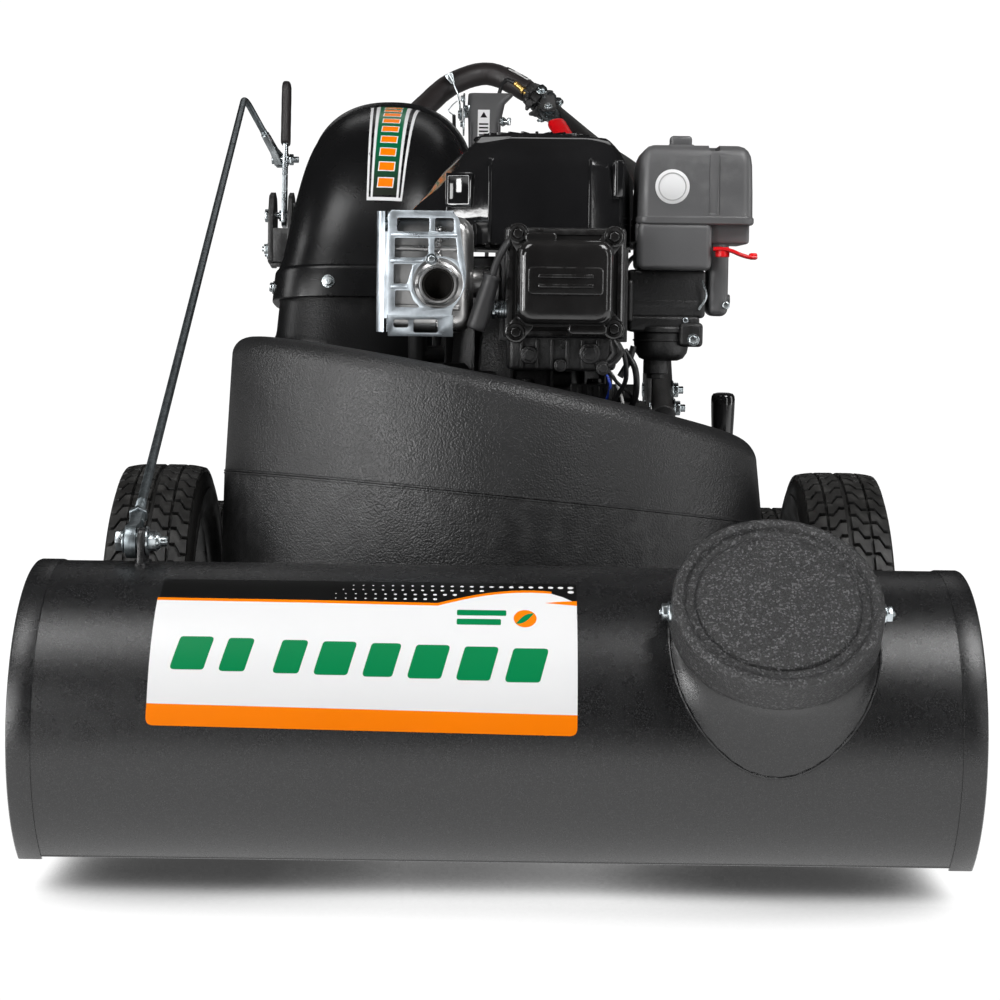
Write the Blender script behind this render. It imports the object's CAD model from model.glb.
# Walk-behind debris vacuum: a wide intake nozzle, an impeller housing with its discharge
# elbow, an engine on top, four wheels and a hoop handle with hand controls.
#
# Shapes are written in layout millimetres: X across, Y from front to back, Z up from the
# floor. The nozzle is at the front (-Y) and the handle at the back (+Y). Left (-X) and right
# (+X) are as seen by the camera, which stands in front. piece() turns millimetres into the
# metres of the row frame, whose origin lies at layout y = ORIGIN_Y.
import math
from itertools import product

import bmesh
import bpy
from mathutils import Matrix, Vector as Vec

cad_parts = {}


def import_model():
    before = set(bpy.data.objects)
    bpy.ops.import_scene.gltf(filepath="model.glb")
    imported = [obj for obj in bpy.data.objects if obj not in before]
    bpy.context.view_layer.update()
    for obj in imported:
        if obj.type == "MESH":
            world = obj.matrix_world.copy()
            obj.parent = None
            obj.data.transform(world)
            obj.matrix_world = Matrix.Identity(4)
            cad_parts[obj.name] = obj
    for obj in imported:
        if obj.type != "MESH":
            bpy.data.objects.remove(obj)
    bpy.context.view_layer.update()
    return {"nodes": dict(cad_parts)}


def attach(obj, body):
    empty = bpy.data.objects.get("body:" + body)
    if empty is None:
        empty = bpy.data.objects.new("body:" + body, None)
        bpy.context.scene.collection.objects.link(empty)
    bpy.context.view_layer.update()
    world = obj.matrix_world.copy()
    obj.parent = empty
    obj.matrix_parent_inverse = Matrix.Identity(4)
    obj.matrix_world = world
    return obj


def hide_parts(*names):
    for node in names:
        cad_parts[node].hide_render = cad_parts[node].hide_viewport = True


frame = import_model()

PI = math.pi
ORIGIN_Y = 593.7
RIGHT, LEFT = (1, 0, 0), (-1, 0, 0)
BACK, FRONT = (0, 1, 0), (0, -1, 0)
UP, DOWN = (0, 0, 1), (0, 0, -1)

# driving dimensions shared by several sections, mm
NOZZLE_R, NOZZLE_Z, NOZZLE_HALF = 127.0, 124.0, 360.0
PORT_X, PORT_R = 211.0, 76.0
DRUM_X, DRUM_Y = -6.0, 395.0        # axis of the impeller housing
SHAFT_X, SHAFT_Y = 18.0, 395.0      # axis of engine and impeller
FRONT_Y, FRONT_R = 339, 152.4       # front wheels; axle height is the tyre radius
REAR_Y, REAR_R = 811, 114.3
ROD_PIN_Z = 268                     # lower pin of the lift rod, at y = 0


# ------------------------------------------------------------------ shader helpers
def add_node(tree, kind, inputs=None, **settings):
    """Add a shader node; each input is a value, or a socket to link from."""
    node = tree.nodes.new("ShaderNode" + kind)
    for key, value in settings.items():
        setattr(node, key, value)
    for key, value in (inputs or {}).items():
        if isinstance(value, bpy.types.NodeSocket):
            tree.links.new(value, node.inputs[key])
        else:
            node.inputs[key].default_value = value
    return node


def empty_tree(owner):
    owner.use_nodes = True
    owner.node_tree.nodes.clear()
    return owner.node_tree


def object_coords(tree):
    return add_node(tree, "TexCoord").outputs["Object"]


def noise(tree, vector, scale, detail=2, roughness=0.5):
    return add_node(tree, "TexNoise", {"Vector": vector, "Scale": scale, "Detail": detail,
                                       "Roughness": roughness}).outputs[0]


def remap(tree, value, from_min=0.0, from_max=1.0, to_min=0.0, to_max=1.0, **settings):
    return add_node(tree, "MapRange", {
        "Value": value, "From Min": from_min, "From Max": from_max,
        "To Min": to_min, "To Max": to_max}, **settings).outputs[0]


def calc(tree, operation, *values):
    return add_node(tree, "Math", dict(enumerate(values)), operation=operation).outputs[0]


def mix_colour(tree, factor, low, high):
    return add_node(tree, "Mix", {0: factor, 6: low, 7: high}, data_type="RGBA").outputs[2]


def rgba(colour):
    return [*colour, 1]


# ------------------------------------------------------------------ materials
MATERIALS = {}
DUST_COLOUR = (0.32, 0.29, 0.25)
FLAKE_COLOUR = (0.22, 0.22, 0.225)


def material(name, colour, rough=0.5, metallic=0.0, tone_var=0.25, tone_scale=9.0,
             high_tone=None, stretch=None, bump=0.12, bump_scale=500.0, bump_depth=0.0004,
             pebble=False, wave=0.0, rough_var=0.12, rough_scale=30.0, coat=0.0,
             coat_rough=0.1, specular=0.5, wear=0.0, wear_colour=(0.35, 0.35, 0.35),
             dust=0.0, sparkle=0.0):
    """Surface with uneven tone and gloss, a fine grain, and optional wear, dust and flakes.

    tone_*: how far and at what scale the colour varies, up to high_tone if given
    bump_*: the fine grain; pebble makes it rounded; wave adds slow dents
    stretch: scales the coordinates of the tone noise
    wear, dust, sparkle: strength of bare edges, dust on upper faces and pale flakes
    """
    made = bpy.data.materials.new(name)
    tree = empty_tree(made)
    coords = object_coords(tree)

    tone_coords = coords
    if stretch:
        tone_coords = add_node(tree, "Mapping", {"Scale": stretch, "Vector": coords}).outputs[0]
    tone = remap(tree, noise(tree, tone_coords, tone_scale, 6, 0.6), 0.32, 0.68)
    shade = mix_colour(tree, tone, rgba(c * (1 - tone_var) for c in colour),
                       rgba(min(1, c * (1 + tone_var)) for c in (high_tone or colour)))
    if wear:
        geometry = add_node(tree, "NewGeometry")
        edges = remap(tree, geometry.outputs["Pointiness"], 0.53, 0.62)
        patches = remap(tree, noise(tree, coords, 70, 5), 0.45, 0.65, to_max=wear)
        shade = mix_colour(tree, calc(tree, "MULTIPLY", edges, patches), shade,
                           rgba(wear_colour))
    if dust:
        geometry = add_node(tree, "NewGeometry")
        normal_parts = add_node(tree, "SeparateXYZ", {0: geometry.outputs["Normal"]})
        upward = remap(tree, normal_parts.outputs[2], -0.2, 1.0, to_max=dust)
        cover = calc(tree, "MULTIPLY", upward, noise(tree, coords, 45, 8))
        shade = mix_colour(tree, cover, shade, rgba(DUST_COLOUR))
    if sparkle:
        cells = add_node(tree, "TexVoronoi", {"Scale": bump_scale * 1.4, "Vector": coords})
        split = add_node(tree, "SeparateColor", {0: cells.outputs["Color"]})
        flakes = remap(tree, split.outputs[0], 0.72, 1.0, to_max=sparkle)
        shade = mix_colour(tree, flakes, shade, rgba(FLAKE_COLOUR))

    gloss = remap(tree, noise(tree, coords, rough_scale, 7), 0.3, 0.7,
                  to_min=max(0.02, rough - rough_var), to_max=min(1, rough + rough_var))

    if pebble:
        cells = add_node(tree, "TexVoronoi", {"Scale": bump_scale, "Smoothness": 0.6,
                                              "Vector": coords}, feature="SMOOTH_F1")
        domes = calc(tree, "MULTIPLY_ADD", cells.outputs["Distance"], -1.0, 1.0)
        height = calc(tree, "ADD", domes, noise(tree, coords, bump_scale * 0.45, 3))
    else:
        height = noise(tree, coords, bump_scale, 3, 0.7)
    normal = add_node(tree, "Bump", {"Strength": bump, "Distance": bump_depth,
                                     "Height": height}).outputs[0]
    if wave:
        normal = add_node(tree, "Bump", {
            "Strength": wave, "Distance": 0.004, "Height": noise(tree, coords, 14, 2),
            "Normal": normal}).outputs[0]

    surface = {"Base Color": shade, "Roughness": gloss, "Metallic": metallic,
               "Specular IOR Level": specular, "Coat Weight": coat,
               "Coat Roughness": coat_rough, "Normal": normal}
    if coat:
        surface["Coat Normal"] = normal
    shader = add_node(tree, "BsdfPrincipled", surface)
    add_node(tree, "OutputMaterial", {0: shader.outputs[0]})
    made.diffuse_color = rgba(colour)
    MATERIALS[name] = made


def paints_and_plastics():
    material("powder_coat", (0.009, 0.009, 0.0095), rough=0.275, tone_var=0.06, bump=0.36,
             bump_scale=1300, rough_var=0.02, rough_scale=60, sparkle=0.16)
    material("powder_coat_frame", (0.011, 0.011, 0.0115), rough=0.42, tone_var=0.12,
             bump=0.35, bump_scale=900, bump_depth=0.0005, sparkle=0.1, wear=0.35, dust=0.06)
    material("housing_shell", (0.016, 0.016, 0.0165), rough=0.41, tone_var=0.10, bump=0.75,
             bump_scale=620, bump_depth=0.0006, pebble=True, rough_var=0.04, wear=0.12)
    material("duct_shell", (0.006, 0.006, 0.0064), rough=0.27, tone_var=0.10, bump=0.15,
             bump_scale=760, pebble=True, rough_var=0.03, wave=0.04, specular=0.26)
    material("neck_shell", (0.006, 0.006, 0.0064), rough=0.36, tone_var=0.14, bump=0.25,
             bump_scale=700, bump_depth=0.0005, pebble=True, rough_var=0.04, wear=0.1,
             specular=0.22)
    material("cap_pebble", (0.016, 0.016, 0.0165), rough=0.40, tone_var=0.9, tone_scale=700,
             bump=1.0, bump_scale=560, bump_depth=0.0016, rough_var=0.1, rough_scale=500,
             sparkle=0.55)
    material("gloss_cover", (0.0095, 0.0095, 0.0102), rough=0.09, tone_var=0.3, bump=0.06,
             bump_scale=90, bump_depth=0.0006, rough_var=0.05, rough_scale=22, coat=0.4,
             coat_rough=0.04, wave=0.03, dust=0.01, specular=0.4)
    material("rocker_gloss", (0.012, 0.0115, 0.0115), rough=0.17, tone_var=0.3, bump=0.14,
             bump_scale=340, bump_depth=0.0006, rough_var=0.08, rough_scale=60, coat=0.3,
             wear=0.2, dust=0.02, specular=0.4)
    material("satin_plastic", (0.092, 0.092, 0.0945), rough=0.40, tone_var=0.12, bump=0.28,
             bump_scale=900, rough_var=0.05, wear=0.1, dust=0.03, specular=0.6)
    material("dark_plastic", (0.014, 0.014, 0.0145), rough=0.38, tone_var=0.2, bump=0.25,
             bump_scale=700, rough_var=0.08, wear=0.2, dust=0.05)
    material("cast_black", (0.008, 0.008, 0.0085), rough=0.36, metallic=0.1, tone_var=0.3,
             bump=0.5, bump_scale=420, bump_depth=0.0010, rough_var=0.1, wear=0.4,
             wear_colour=(0.08, 0.08, 0.08), dust=0.03)
    material("tyre_rubber", (0.0046, 0.0045, 0.0044), tone_var=0.3, tone_scale=40, bump=0.4,
             bump_scale=700, bump_depth=0.0005, rough_var=0.1, dust=0.03, wear=0.6,
             wear_colour=(0.05, 0.049, 0.047), specular=0.36)
    material("rim_paint", (0.006, 0.006, 0.0065), rough=0.35, tone_var=0.2, bump=0.2,
             bump_scale=400, wear=0.3, dust=0.04, specular=0.4)


def metals():
    material("zinc_plate", (0.46, 0.50, 0.53), rough=0.27, metallic=1.0, tone_scale=38,
             bump=0.18, bump_scale=260, rough_var=0.1, rough_scale=70,
             high_tone=(0.52, 0.56, 0.57))
    material("zinc_rod", (0.20, 0.225, 0.24), rough=0.36, metallic=0.95, tone_var=0.3,
             tone_scale=45, bump=0.2, bump_scale=420, bump_depth=0.0003, rough_var=0.08,
             rough_scale=90, stretch=(6, 6, 0.5), high_tone=(0.25, 0.285, 0.30))
    material("galvanised", (0.50, 0.555, 0.60), rough=0.38, metallic=0.9, tone_var=0.2,
             tone_scale=55, bump=0.2, bump_scale=180, rough_scale=60,
             high_tone=(0.56, 0.61, 0.65))
    material("bare_steel", (0.42, 0.40, 0.37), rough=0.34, metallic=1.0, tone_var=0.35,
             tone_scale=20, bump=0.35, bump_scale=300, bump_depth=0.0005, rough_var=0.14,
             rough_scale=50, high_tone=(0.5, 0.49, 0.47))
    material("muffler_skin", (0.40, 0.40, 0.40), rough=0.33, metallic=0.95, tone_var=0.3,
             tone_scale=14, bump=0.25, bump_scale=330, bump_depth=0.0005, rough_scale=40,
             high_tone=(0.46, 0.455, 0.45), wave=0.2)
    material("brass", (0.60, 0.40, 0.13), rough=0.3, metallic=1.0, tone_scale=60, bump=0.2,
             bump_scale=400, bump_depth=0.0003)


def rubbers_and_wires():
    material("boot_rubber", (0.020, 0.020, 0.021), tone_var=0.2, bump=0.25, bump_scale=600,
             wear=0.2)
    material("vinyl_dip", (0.022, 0.018, 0.018), rough=0.46, bump=0.4, bump_scale=380,
             bump_depth=0.0006, rough_var=0.08, wave=0.2)
    material("red_vinyl", (0.72, 0.002, 0.006), rough=0.34, tone_var=0.12, bump=0.14,
             bump_scale=300, rough_var=0.06, coat=0.1, coat_rough=0.2, wave=0.08,
             specular=0.35)
    material("cable_sleeve", (0.015, 0.015, 0.016), rough=0.4, bump=0.3, bump_depth=0.0003)
    material("wire_white", (0.72, 0.72, 0.70), rough=0.4, tone_var=0.06, bump=0.1)
    material("wire_blue", (0.02, 0.06, 0.45), rough=0.4, tone_var=0.1, bump=0.1)


def decal_inks():
    ink = dict(bump=0.04, bump_scale=300, rough_var=0.03)
    material("decal_white", (0.765, 0.765, 0.77), rough=0.34, tone_var=0.01, specular=0.3,
             **ink)
    material("decal_orange", (0.93, 0.205, 0.0), rough=0.36, tone_var=0.02, specular=0.15,
             **ink)
    material("decal_green", (0.0, 0.20, 0.062), rough=0.36, tone_var=0.03, specular=0.12,
             **ink)
    material("decal_black", (0.005, 0.005, 0.005), rough=0.30, tone_var=0.05, specular=0.4,
             **ink)
    material("pipe_soot", (0.010, 0.008, 0.006), rough=0.75, tone_var=0.5, tone_scale=60,
             bump=0.5, bump_scale=260, bump_depth=0.0006)
    material("decal_grey", (0.42, 0.42, 0.42), rough=0.3, tone_var=0.05, bump=0.05,
             bump_scale=300)


paints_and_plastics()
metals()
rubbers_and_wires()
decal_inks()


# ------------------------------------------------------------------ mesh kit
# A part is a pair (points, faces) in layout mm.
def unit(vector):
    return Vec(vector).normalized()


def basis(axis):
    """Two side directions and the unit axis, square to each other."""
    axis = unit(axis)
    hint = Vec(UP) if abs(axis.z) < 0.9 else Vec(RIGHT)
    side = (hint - axis * hint.dot(axis)).normalized()
    return side, axis.cross(side), axis


def angles(count, start=0.0):
    return [start + 2 * PI * k / count for k in range(count)]


def signed_power(value, exponent):
    return math.copysign(abs(value) ** exponent, value)


def bead_radii(count, base, swing, rate):
    """Uneven radii of a weld bead."""
    return [base + swing * math.sin(k * rate) for k in range(count)]


def join(*parts):
    points, faces = [], []
    for part_points, part_faces in parts:
        start = len(points)
        points += [tuple(p) for p in part_points]
        faces += [tuple(i + start for i in face) for face in part_faces]
    return points, faces


def loft(rings, cap=True, loop=False):
    """Skin over rings of equal size; loop joins the last ring to the first."""
    size, count = len(rings[0]), len(rings)
    faces = []
    for row in range(count if loop else count - 1):
        here, there = row * size, (row + 1) % count * size
        for k in range(size):
            after = (k + 1) % size
            faces.append((here + k, here + after, there + after, there + k))
    if cap and not loop:
        faces.append(tuple(range(size))[::-1])
        faces.append(tuple(range((count - 1) * size, count * size)))
    return [tuple(p) for ring in rings for p in ring], faces


def lathe(profile, base, axis, sides=64, close=False):
    """Turn a profile of (radius, distance along the axis); radius 0 becomes a pole."""
    side, across, axis = basis(axis)
    base = Vec(base)
    points, rows = [], []
    for radius, along in profile:
        if radius <= 1e-6:
            rows.append([len(points)] * sides)
            points.append(tuple(base + axis * along))
            continue
        rows.append(range(len(points), len(points) + sides))
        for angle in angles(sides):
            points.append(tuple(base + axis * along + side * (radius * math.cos(angle))
                                + across * (radius * math.sin(angle))))
    faces = []
    count = len(profile)
    for row in range(count if close else count - 1):
        low, high = rows[row], rows[(row + 1) % count]
        for k in range(sides):
            after = (k + 1) % sides
            face = tuple(dict.fromkeys((low[k], low[after], high[after], high[k])))
            if len(face) > 2:
                faces.append(face)
    return points, faces


def cyl(start, end, radius, end_radius=None, sides=32, chamfer=0.0):
    end_radius = radius if end_radius is None else end_radius
    start, end = Vec(start), Vec(end)
    length = (end - start).length
    edge = min(chamfer, length * 0.45, radius * 0.6, end_radius * 0.6)
    if edge > 0:
        profile = [(0, 0), (radius - edge, 0), (radius - edge * 0.3, edge * 0.3),
                   (radius, edge), (end_radius, length - edge),
                   (end_radius - edge * 0.3, length - edge * 0.3),
                   (end_radius - edge, length), (0, length)]
    else:
        profile = [(0, 0), (radius, 0), (end_radius, length), (0, length)]
    return lathe(profile, start, end - start, sides)


def tube(start, end, outer, inner, sides=40, chamfer=0.6):
    start, end = Vec(start), Vec(end)
    length = (end - start).length
    wall = [(outer - chamfer, 0), (outer, chamfer), (outer, length - chamfer),
            (outer - chamfer, length), (inner + chamfer, length), (inner, length - chamfer),
            (inner, chamfer), (inner + chamfer, 0)]
    return lathe(wall, start, end - start, sides, close=True)


def washer(base, axis, radius, thick, crest, hole=0, sides=28):
    """Disc whose rim swells to its radius at height crest."""
    return lathe([(hole, 0), (radius - 0.4, 0), (radius, crest), (radius - 0.4, thick),
                  (hole, thick)], base, axis, sides, close=hole > 0)


def flat_ring(base, axis, outer, inner, thick):
    return lathe([(inner, 0), (outer, 0), (outer, thick), (inner, thick)], base, axis, 28,
                 close=True)


def to_bmesh(part):
    mesh = bmesh.new()
    verts = [mesh.verts.new(p) for p in part[0]]
    for face in part[1]:
        # guards against a face that repeats another face or one of its own corners
        try:
            mesh.faces.new([verts[i] for i in face])
        except ValueError:
            pass
    return mesh


def bevel(part, width, steps=2, angle=30):
    """Round the edges sharper than angle, in degrees."""
    mesh = to_bmesh(part)
    bmesh.ops.remove_doubles(mesh, verts=mesh.verts, dist=1e-4)
    bmesh.ops.recalc_face_normals(mesh, faces=mesh.faces)
    mesh.normal_update()
    edges = [e for e in mesh.edges
             if len(e.link_faces) == 2 and e.calc_face_angle(0) > math.radians(angle)]
    if edges:
        bmesh.ops.bevel(mesh, geom=edges, offset=width, offset_type="OFFSET", segments=steps,
                        profile=0.5, affect="EDGES", clamp_overlap=True)
    mesh.verts.index_update()
    points = [tuple(v.co) for v in mesh.verts]
    faces = [tuple(v.index for v in f.verts) for f in mesh.faces]
    mesh.free()
    return points, faces


def hexagon(base, axis, radius, height, chamfer=0.8, turn=0.0):
    """Hex head or nut; radius is to the corners."""
    side, across, axis = basis(axis)
    base = Vec(base)
    rings = []
    for r, along in ((radius - chamfer, 0), (radius, chamfer * 0.6),
                     (radius, height - chamfer * 0.6), (radius - chamfer, height)):
        rings.append([base + axis * along + side * (r * math.cos(turn + PI / 3 * k))
                      + across * (r * math.sin(turn + PI / 3 * k)) for k in range(6)])
    return bevel(loft(rings), 0.35, 2, 25)


BOX_FACES = [(0, 1, 3, 2), (4, 6, 7, 5), (0, 4, 5, 1), (2, 3, 7, 6), (0, 2, 6, 4), (1, 5, 7, 3)]


def box(x0, x1, y0, y1, z0, z1, rounding=1.5, steps=3):
    part = list(product((x0, x1), (y0, y1), (z0, z1))), BOX_FACES
    return bevel(part, rounding, steps) if rounding > 0 else part


def turned_box(centre, axis_a, axis_b, axis_c, half_a, half_b, half_c, rounding=1.0, steps=2):
    """Box on its own three axes, given by half sizes."""
    centre, axis_a, axis_b, axis_c = Vec(centre), unit(axis_a), unit(axis_b), unit(axis_c)
    points = [tuple(centre + axis_a * (i * half_a) + axis_b * (j * half_b)
                    + axis_c * (k * half_c)) for i, j, k in product((-1, 1), repeat=3)]
    return bevel((points, BOX_FACES), rounding, steps)


def block(centre, half_x, half_y, half_z, rounding=1.0, steps=2):
    return turned_box(centre, RIGHT, BACK, UP, half_x, half_y, half_z, rounding, steps)


def spokes(x, y, z, radius, count, half_sizes, rounding, steps=2, start=0.0):
    """Boxes round a vertical axis; half sizes are radial, tangential and vertical."""
    parts = []
    for angle in angles(count, start):
        cosine, sine = math.cos(angle), math.sin(angle)
        parts.append(turned_box((x + radius * cosine, y + radius * sine, z),
                                (cosine, sine, 0), (-sine, cosine, 0), UP, *half_sizes,
                                rounding, steps))
    return parts


def along_x(y, z, x):
    return x, y, z


def along_y(x, z, y):
    return x, y, z


def prism(outline, place, start, end):
    """Push a flat outline from start to end; place is along_x or along_y."""
    return loft([[place(a, b, depth) for a, b in outline] for depth in (start, end)])


def rounded_rect(x, y, half_x, half_y, radius, steps=6):
    points = []
    for k, (sign_x, sign_y) in enumerate(((1, 1), (-1, 1), (-1, -1), (1, -1))):
        corner_x, corner_y = x + sign_x * (half_x - radius), y + sign_y * (half_y - radius)
        for step in range(steps + 1):
            angle = PI / 2 * k + PI / 2 * step / steps
            points.append((corner_x + radius * math.cos(angle),
                           corner_y + radius * math.sin(angle)))
    return points


def ring_y(x, y, z, half_x, half_z, radius, steps=8):
    """Rounded rectangle standing square to Y."""
    return [(x + a, y, z + b) for a, b in rounded_rect(0, 0, half_x, half_z, radius, steps)]


def ring_z(x, y, z, half_x, half_y, radius, steps=8):
    """Rounded rectangle lying square to Z."""
    return [(x + a, y + b, z) for a, b in rounded_rect(0, 0, half_x, half_y, radius, steps)]


def power_ring(centre, side, up, half_side, half_up, exponent, sides):
    """Superellipse ring across side and up."""
    return [centre + side * (half_side * signed_power(math.cos(angle), 2 / exponent))
            + up * (half_up * signed_power(math.sin(angle), 2 / exponent))
            for angle in angles(sides)]


def round_corners(outline, radius, steps=5):
    """Round a closed outline by one radius, or by one per corner."""
    count = len(outline)
    rounded = []
    for i in range(count):
        before, corner, after = (Vec((*outline[k], 0)) for k in (i - 1, i, (i + 1) % count))
        arm_in, arm_out = before - corner, after - corner
        length_in, length_out = arm_in.length, arm_out.length
        arm_in.normalize()
        arm_out.normalize()
        angle = math.acos(max(-1, min(1, arm_in.dot(arm_out))))
        r = radius[i] if isinstance(radius, (list, tuple)) else radius
        reach = r / math.tan(angle / 2) if angle < PI - 1e-3 else 0
        reach = min(reach, length_in * 0.48, length_out * 0.48)
        start, end = corner + arm_in * reach, corner + arm_out * reach
        for k in range(steps + 1):
            s = k / steps
            point = start * (1 - s) ** 2 + corner * (2 * s * (1 - s)) + end * s * s
            rounded.append((point.x, point.y))
    return rounded


def spline(knots, count=64):
    """Centripetal curve through the knots, as count even steps of length."""
    knots = [Vec(k) for k in knots]
    points = []
    last = len(knots) - 1
    for i in range(last):
        p1, p2 = knots[i], knots[i + 1]
        p0 = knots[i - 1] if i > 0 else p1 * 2 - p2
        p3 = knots[i + 2] if i + 2 <= last else p2 * 2 - p1
        d1 = max((p1 - p0).length ** 0.5, 1e-4)
        d2 = max((p2 - p1).length ** 0.5, 1e-4)
        d3 = max((p3 - p2).length ** 0.5, 1e-4)
        slope1 = ((p1 - p0) / d1 - (p2 - p0) / (d1 + d2) + (p2 - p1) / d2) * d2
        slope2 = ((p2 - p1) / d2 - (p3 - p1) / (d2 + d3) + (p3 - p2) / d3) * d2
        for k in range(24):
            t = k / 24
            points.append(p1 * (2 * t ** 3 - 3 * t * t + 1)
                          + slope1 * (t ** 3 - 2 * t * t + t)
                          + p2 * (-2 * t ** 3 + 3 * t * t) + slope2 * (t ** 3 - t * t))
    points.append(knots[-1])
    lengths = [0.0]
    for a, b in zip(points, points[1:]):
        lengths.append(lengths[-1] + (b - a).length)
    even = []
    j = 0
    for k in range(count + 1):
        goal = lengths[-1] * k / count
        while j < len(lengths) - 2 and lengths[j + 1] < goal:
            j += 1
        t = (goal - lengths[j]) / max(lengths[j + 1] - lengths[j], 1e-9)
        even.append(points[j].lerp(points[j + 1], min(1, max(0, t))))
    return even


def tangent(path, i):
    """Direction of a path at point i."""
    return (path[min(len(path) - 1, i + 1)] - path[max(0, i - 1)]).normalized()


def sweep(path, radius, sides=20, cap=True, rounding=0.0):
    """Round bar along points; radius is one number or one per point."""
    path = [Vec(p) for p in path]
    ways = [tangent(path, i) for i in range(len(path))]
    side = basis(ways[0])[0]
    radii = list(radius) if isinstance(radius, (list, tuple)) else [radius] * len(path)
    if rounding and cap:
        edge = min(rounding, radii[0] * 0.8)
        start, end = ways[0], ways[-1]
        path = [path[0], path[0] + start * edge * 0.35, path[0] + start * edge,
                *path[1:-1], path[-1] - end * edge, path[-1] - end * edge * 0.35, path[-1]]
        ways = [start] * 3 + ways[1:-1] + [end] * 3
        radii = [radii[0] - edge, radii[0] - edge * 0.3, *radii[:-1],
                 radii[-1], radii[-1] - edge * 0.3, radii[-1] - edge]
    rings = []
    previous = ways[0]
    for point, way, r in zip(path, ways, radii):
        side = previous.rotation_difference(way) @ side
        side = (side - way * side.dot(way)).normalized()
        across = way.cross(side)
        previous = way
        rings.append([point + side * (r * math.cos(angle)) + across * (r * math.sin(angle))
                      for angle in angles(sides)])
    return loft(rings, cap=cap)


def thread(start, end, radius, pitch=1.25):
    """A run of thread as stacked ridges."""
    start, end = Vec(start), Vec(end)
    length = (end - start).length
    count = max(2, int(length / pitch))
    profile = [(0, 0), (radius - 0.5, 0)]
    for i in range(count):
        along = length * i / count
        profile += [(radius - 0.45, along + 0.15), (radius, along + length / count * 0.5),
                    (radius - 0.45, along + length / count * 0.95)]
    profile += [(radius - 0.8, length), (0, length)]
    return lathe(profile, start, end - start, 20)


def bolt(base, axis, radius, height, washer_r=0, thick=1.5, stem=0, stem_r=0, turn=0.0):
    """Hex head pointing along axis, with an optional washer below and thread above."""
    axis = unit(axis)
    base = Vec(base)
    parts = []
    if washer_r:
        parts.append(lathe([(0, 0), (washer_r - 0.4, 0), (washer_r, 0.4),
                            (washer_r, thick - 0.4), (washer_r - 0.4, thick), (0, thick)],
                           base, axis, 28))
        base = base + axis * thick
    parts.append(hexagon(base, axis, radius, height, turn=turn))
    if stem:
        parts.append(thread(base + axis * (height - 0.5), base + axis * (height + stem),
                            stem_r or radius * 0.55))
    return join(*parts)


def temporary_object(part):
    data = bpy.data.meshes.new("temporary")
    mesh = to_bmesh(part)
    bmesh.ops.remove_doubles(mesh, verts=mesh.verts, dist=1e-4)
    bmesh.ops.recalc_face_normals(mesh, faces=mesh.faces)
    mesh.to_mesh(data)
    mesh.free()
    ob = bpy.data.objects.new("temporary", data)
    bpy.context.scene.collection.objects.link(ob)
    return ob


def cut(part, *cutters, operation="DIFFERENCE"):
    """Combine a part with each cutter in turn, by the exact solver."""
    base = temporary_object(part)
    made = [base]
    for cutter in cutters:
        made.append(temporary_object(cutter))
        modifier = base.modifiers.new("cut", "BOOLEAN")
        modifier.operation = operation
        modifier.solver = "EXACT"
        modifier.object = made[-1]
    bpy.context.view_layer.update()
    solved = base.evaluated_get(bpy.context.evaluated_depsgraph_get())
    data = solved.to_mesh()
    points = [tuple(v.co) for v in data.vertices]
    faces = [tuple(p.vertices) for p in data.polygons]
    solved.to_mesh_clear()
    for ob in made:
        data = ob.data
        bpy.data.objects.remove(ob)
        bpy.data.meshes.remove(data)
    return points, faces


def piece(name, part, material_name, replaces=None, body="chassis", smooth=38,
          weld=1e-4):
    """Make a part an object riding on a body; edges sharper than smooth degrees stay sharp."""
    data = bpy.data.meshes.new(name)
    mesh = to_bmesh(part)
    bmesh.ops.remove_doubles(mesh, verts=mesh.verts, dist=weld)
    loose = [v for v in mesh.verts if not v.link_faces]
    if loose:
        bmesh.ops.delete(mesh, geom=loose, context="VERTS")
    bmesh.ops.recalc_face_normals(mesh, faces=mesh.faces)
    for v in mesh.verts:
        v.co = Vec((v.co.x / 1000, (v.co.y - ORIGIN_Y) / 1000, v.co.z / 1000))
    mesh.to_mesh(data)
    mesh.free()
    ob = bpy.data.objects.new(name, data)
    bpy.context.scene.collection.objects.link(ob)
    data.materials.append(MATERIALS[material_name])
    data.shade_smooth()
    data.set_sharp_from_angle(angle=math.radians(smooth))
    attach(ob, body)
    if replaces:
        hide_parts(replaces)


def smooth_by_angle():
    """Geometry nodes that shade smooth all but the edges over 36 degrees."""
    group = bpy.data.node_groups.new("smooth_by_angle", "GeometryNodeTree")
    for way in ("INPUT", "OUTPUT"):
        group.interface.new_socket("Geometry", in_out=way, socket_type="NodeSocketGeometry")
    new, link = group.nodes.new, group.links.new
    source = new("NodeGroupInput")
    result = new("NodeGroupOutput")
    faces = new("GeometryNodeSetShadeSmooth")
    faces.domain = "FACE"
    faces.inputs["Shade Smooth"].default_value = True
    edges = new("GeometryNodeSetShadeSmooth")
    edges.domain = "EDGE"
    edges.inputs["Shade Smooth"].default_value = False
    edge_angle = new("GeometryNodeInputMeshEdgeAngle")
    sharp = new("FunctionNodeCompare")
    sharp.data_type = "FLOAT"
    sharp.operation = "GREATER_THAN"
    sharp.inputs[1].default_value = math.radians(36)
    link(source.outputs[0], faces.inputs["Geometry"])
    link(faces.outputs[0], edges.inputs["Geometry"])
    link(edge_angle.outputs["Unsigned Angle"], sharp.inputs[0])
    link(sharp.outputs[0], edges.inputs["Selection"])
    link(edges.outputs[0], result.inputs[0])
    return group


SMOOTH_GROUP = smooth_by_angle()


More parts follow.
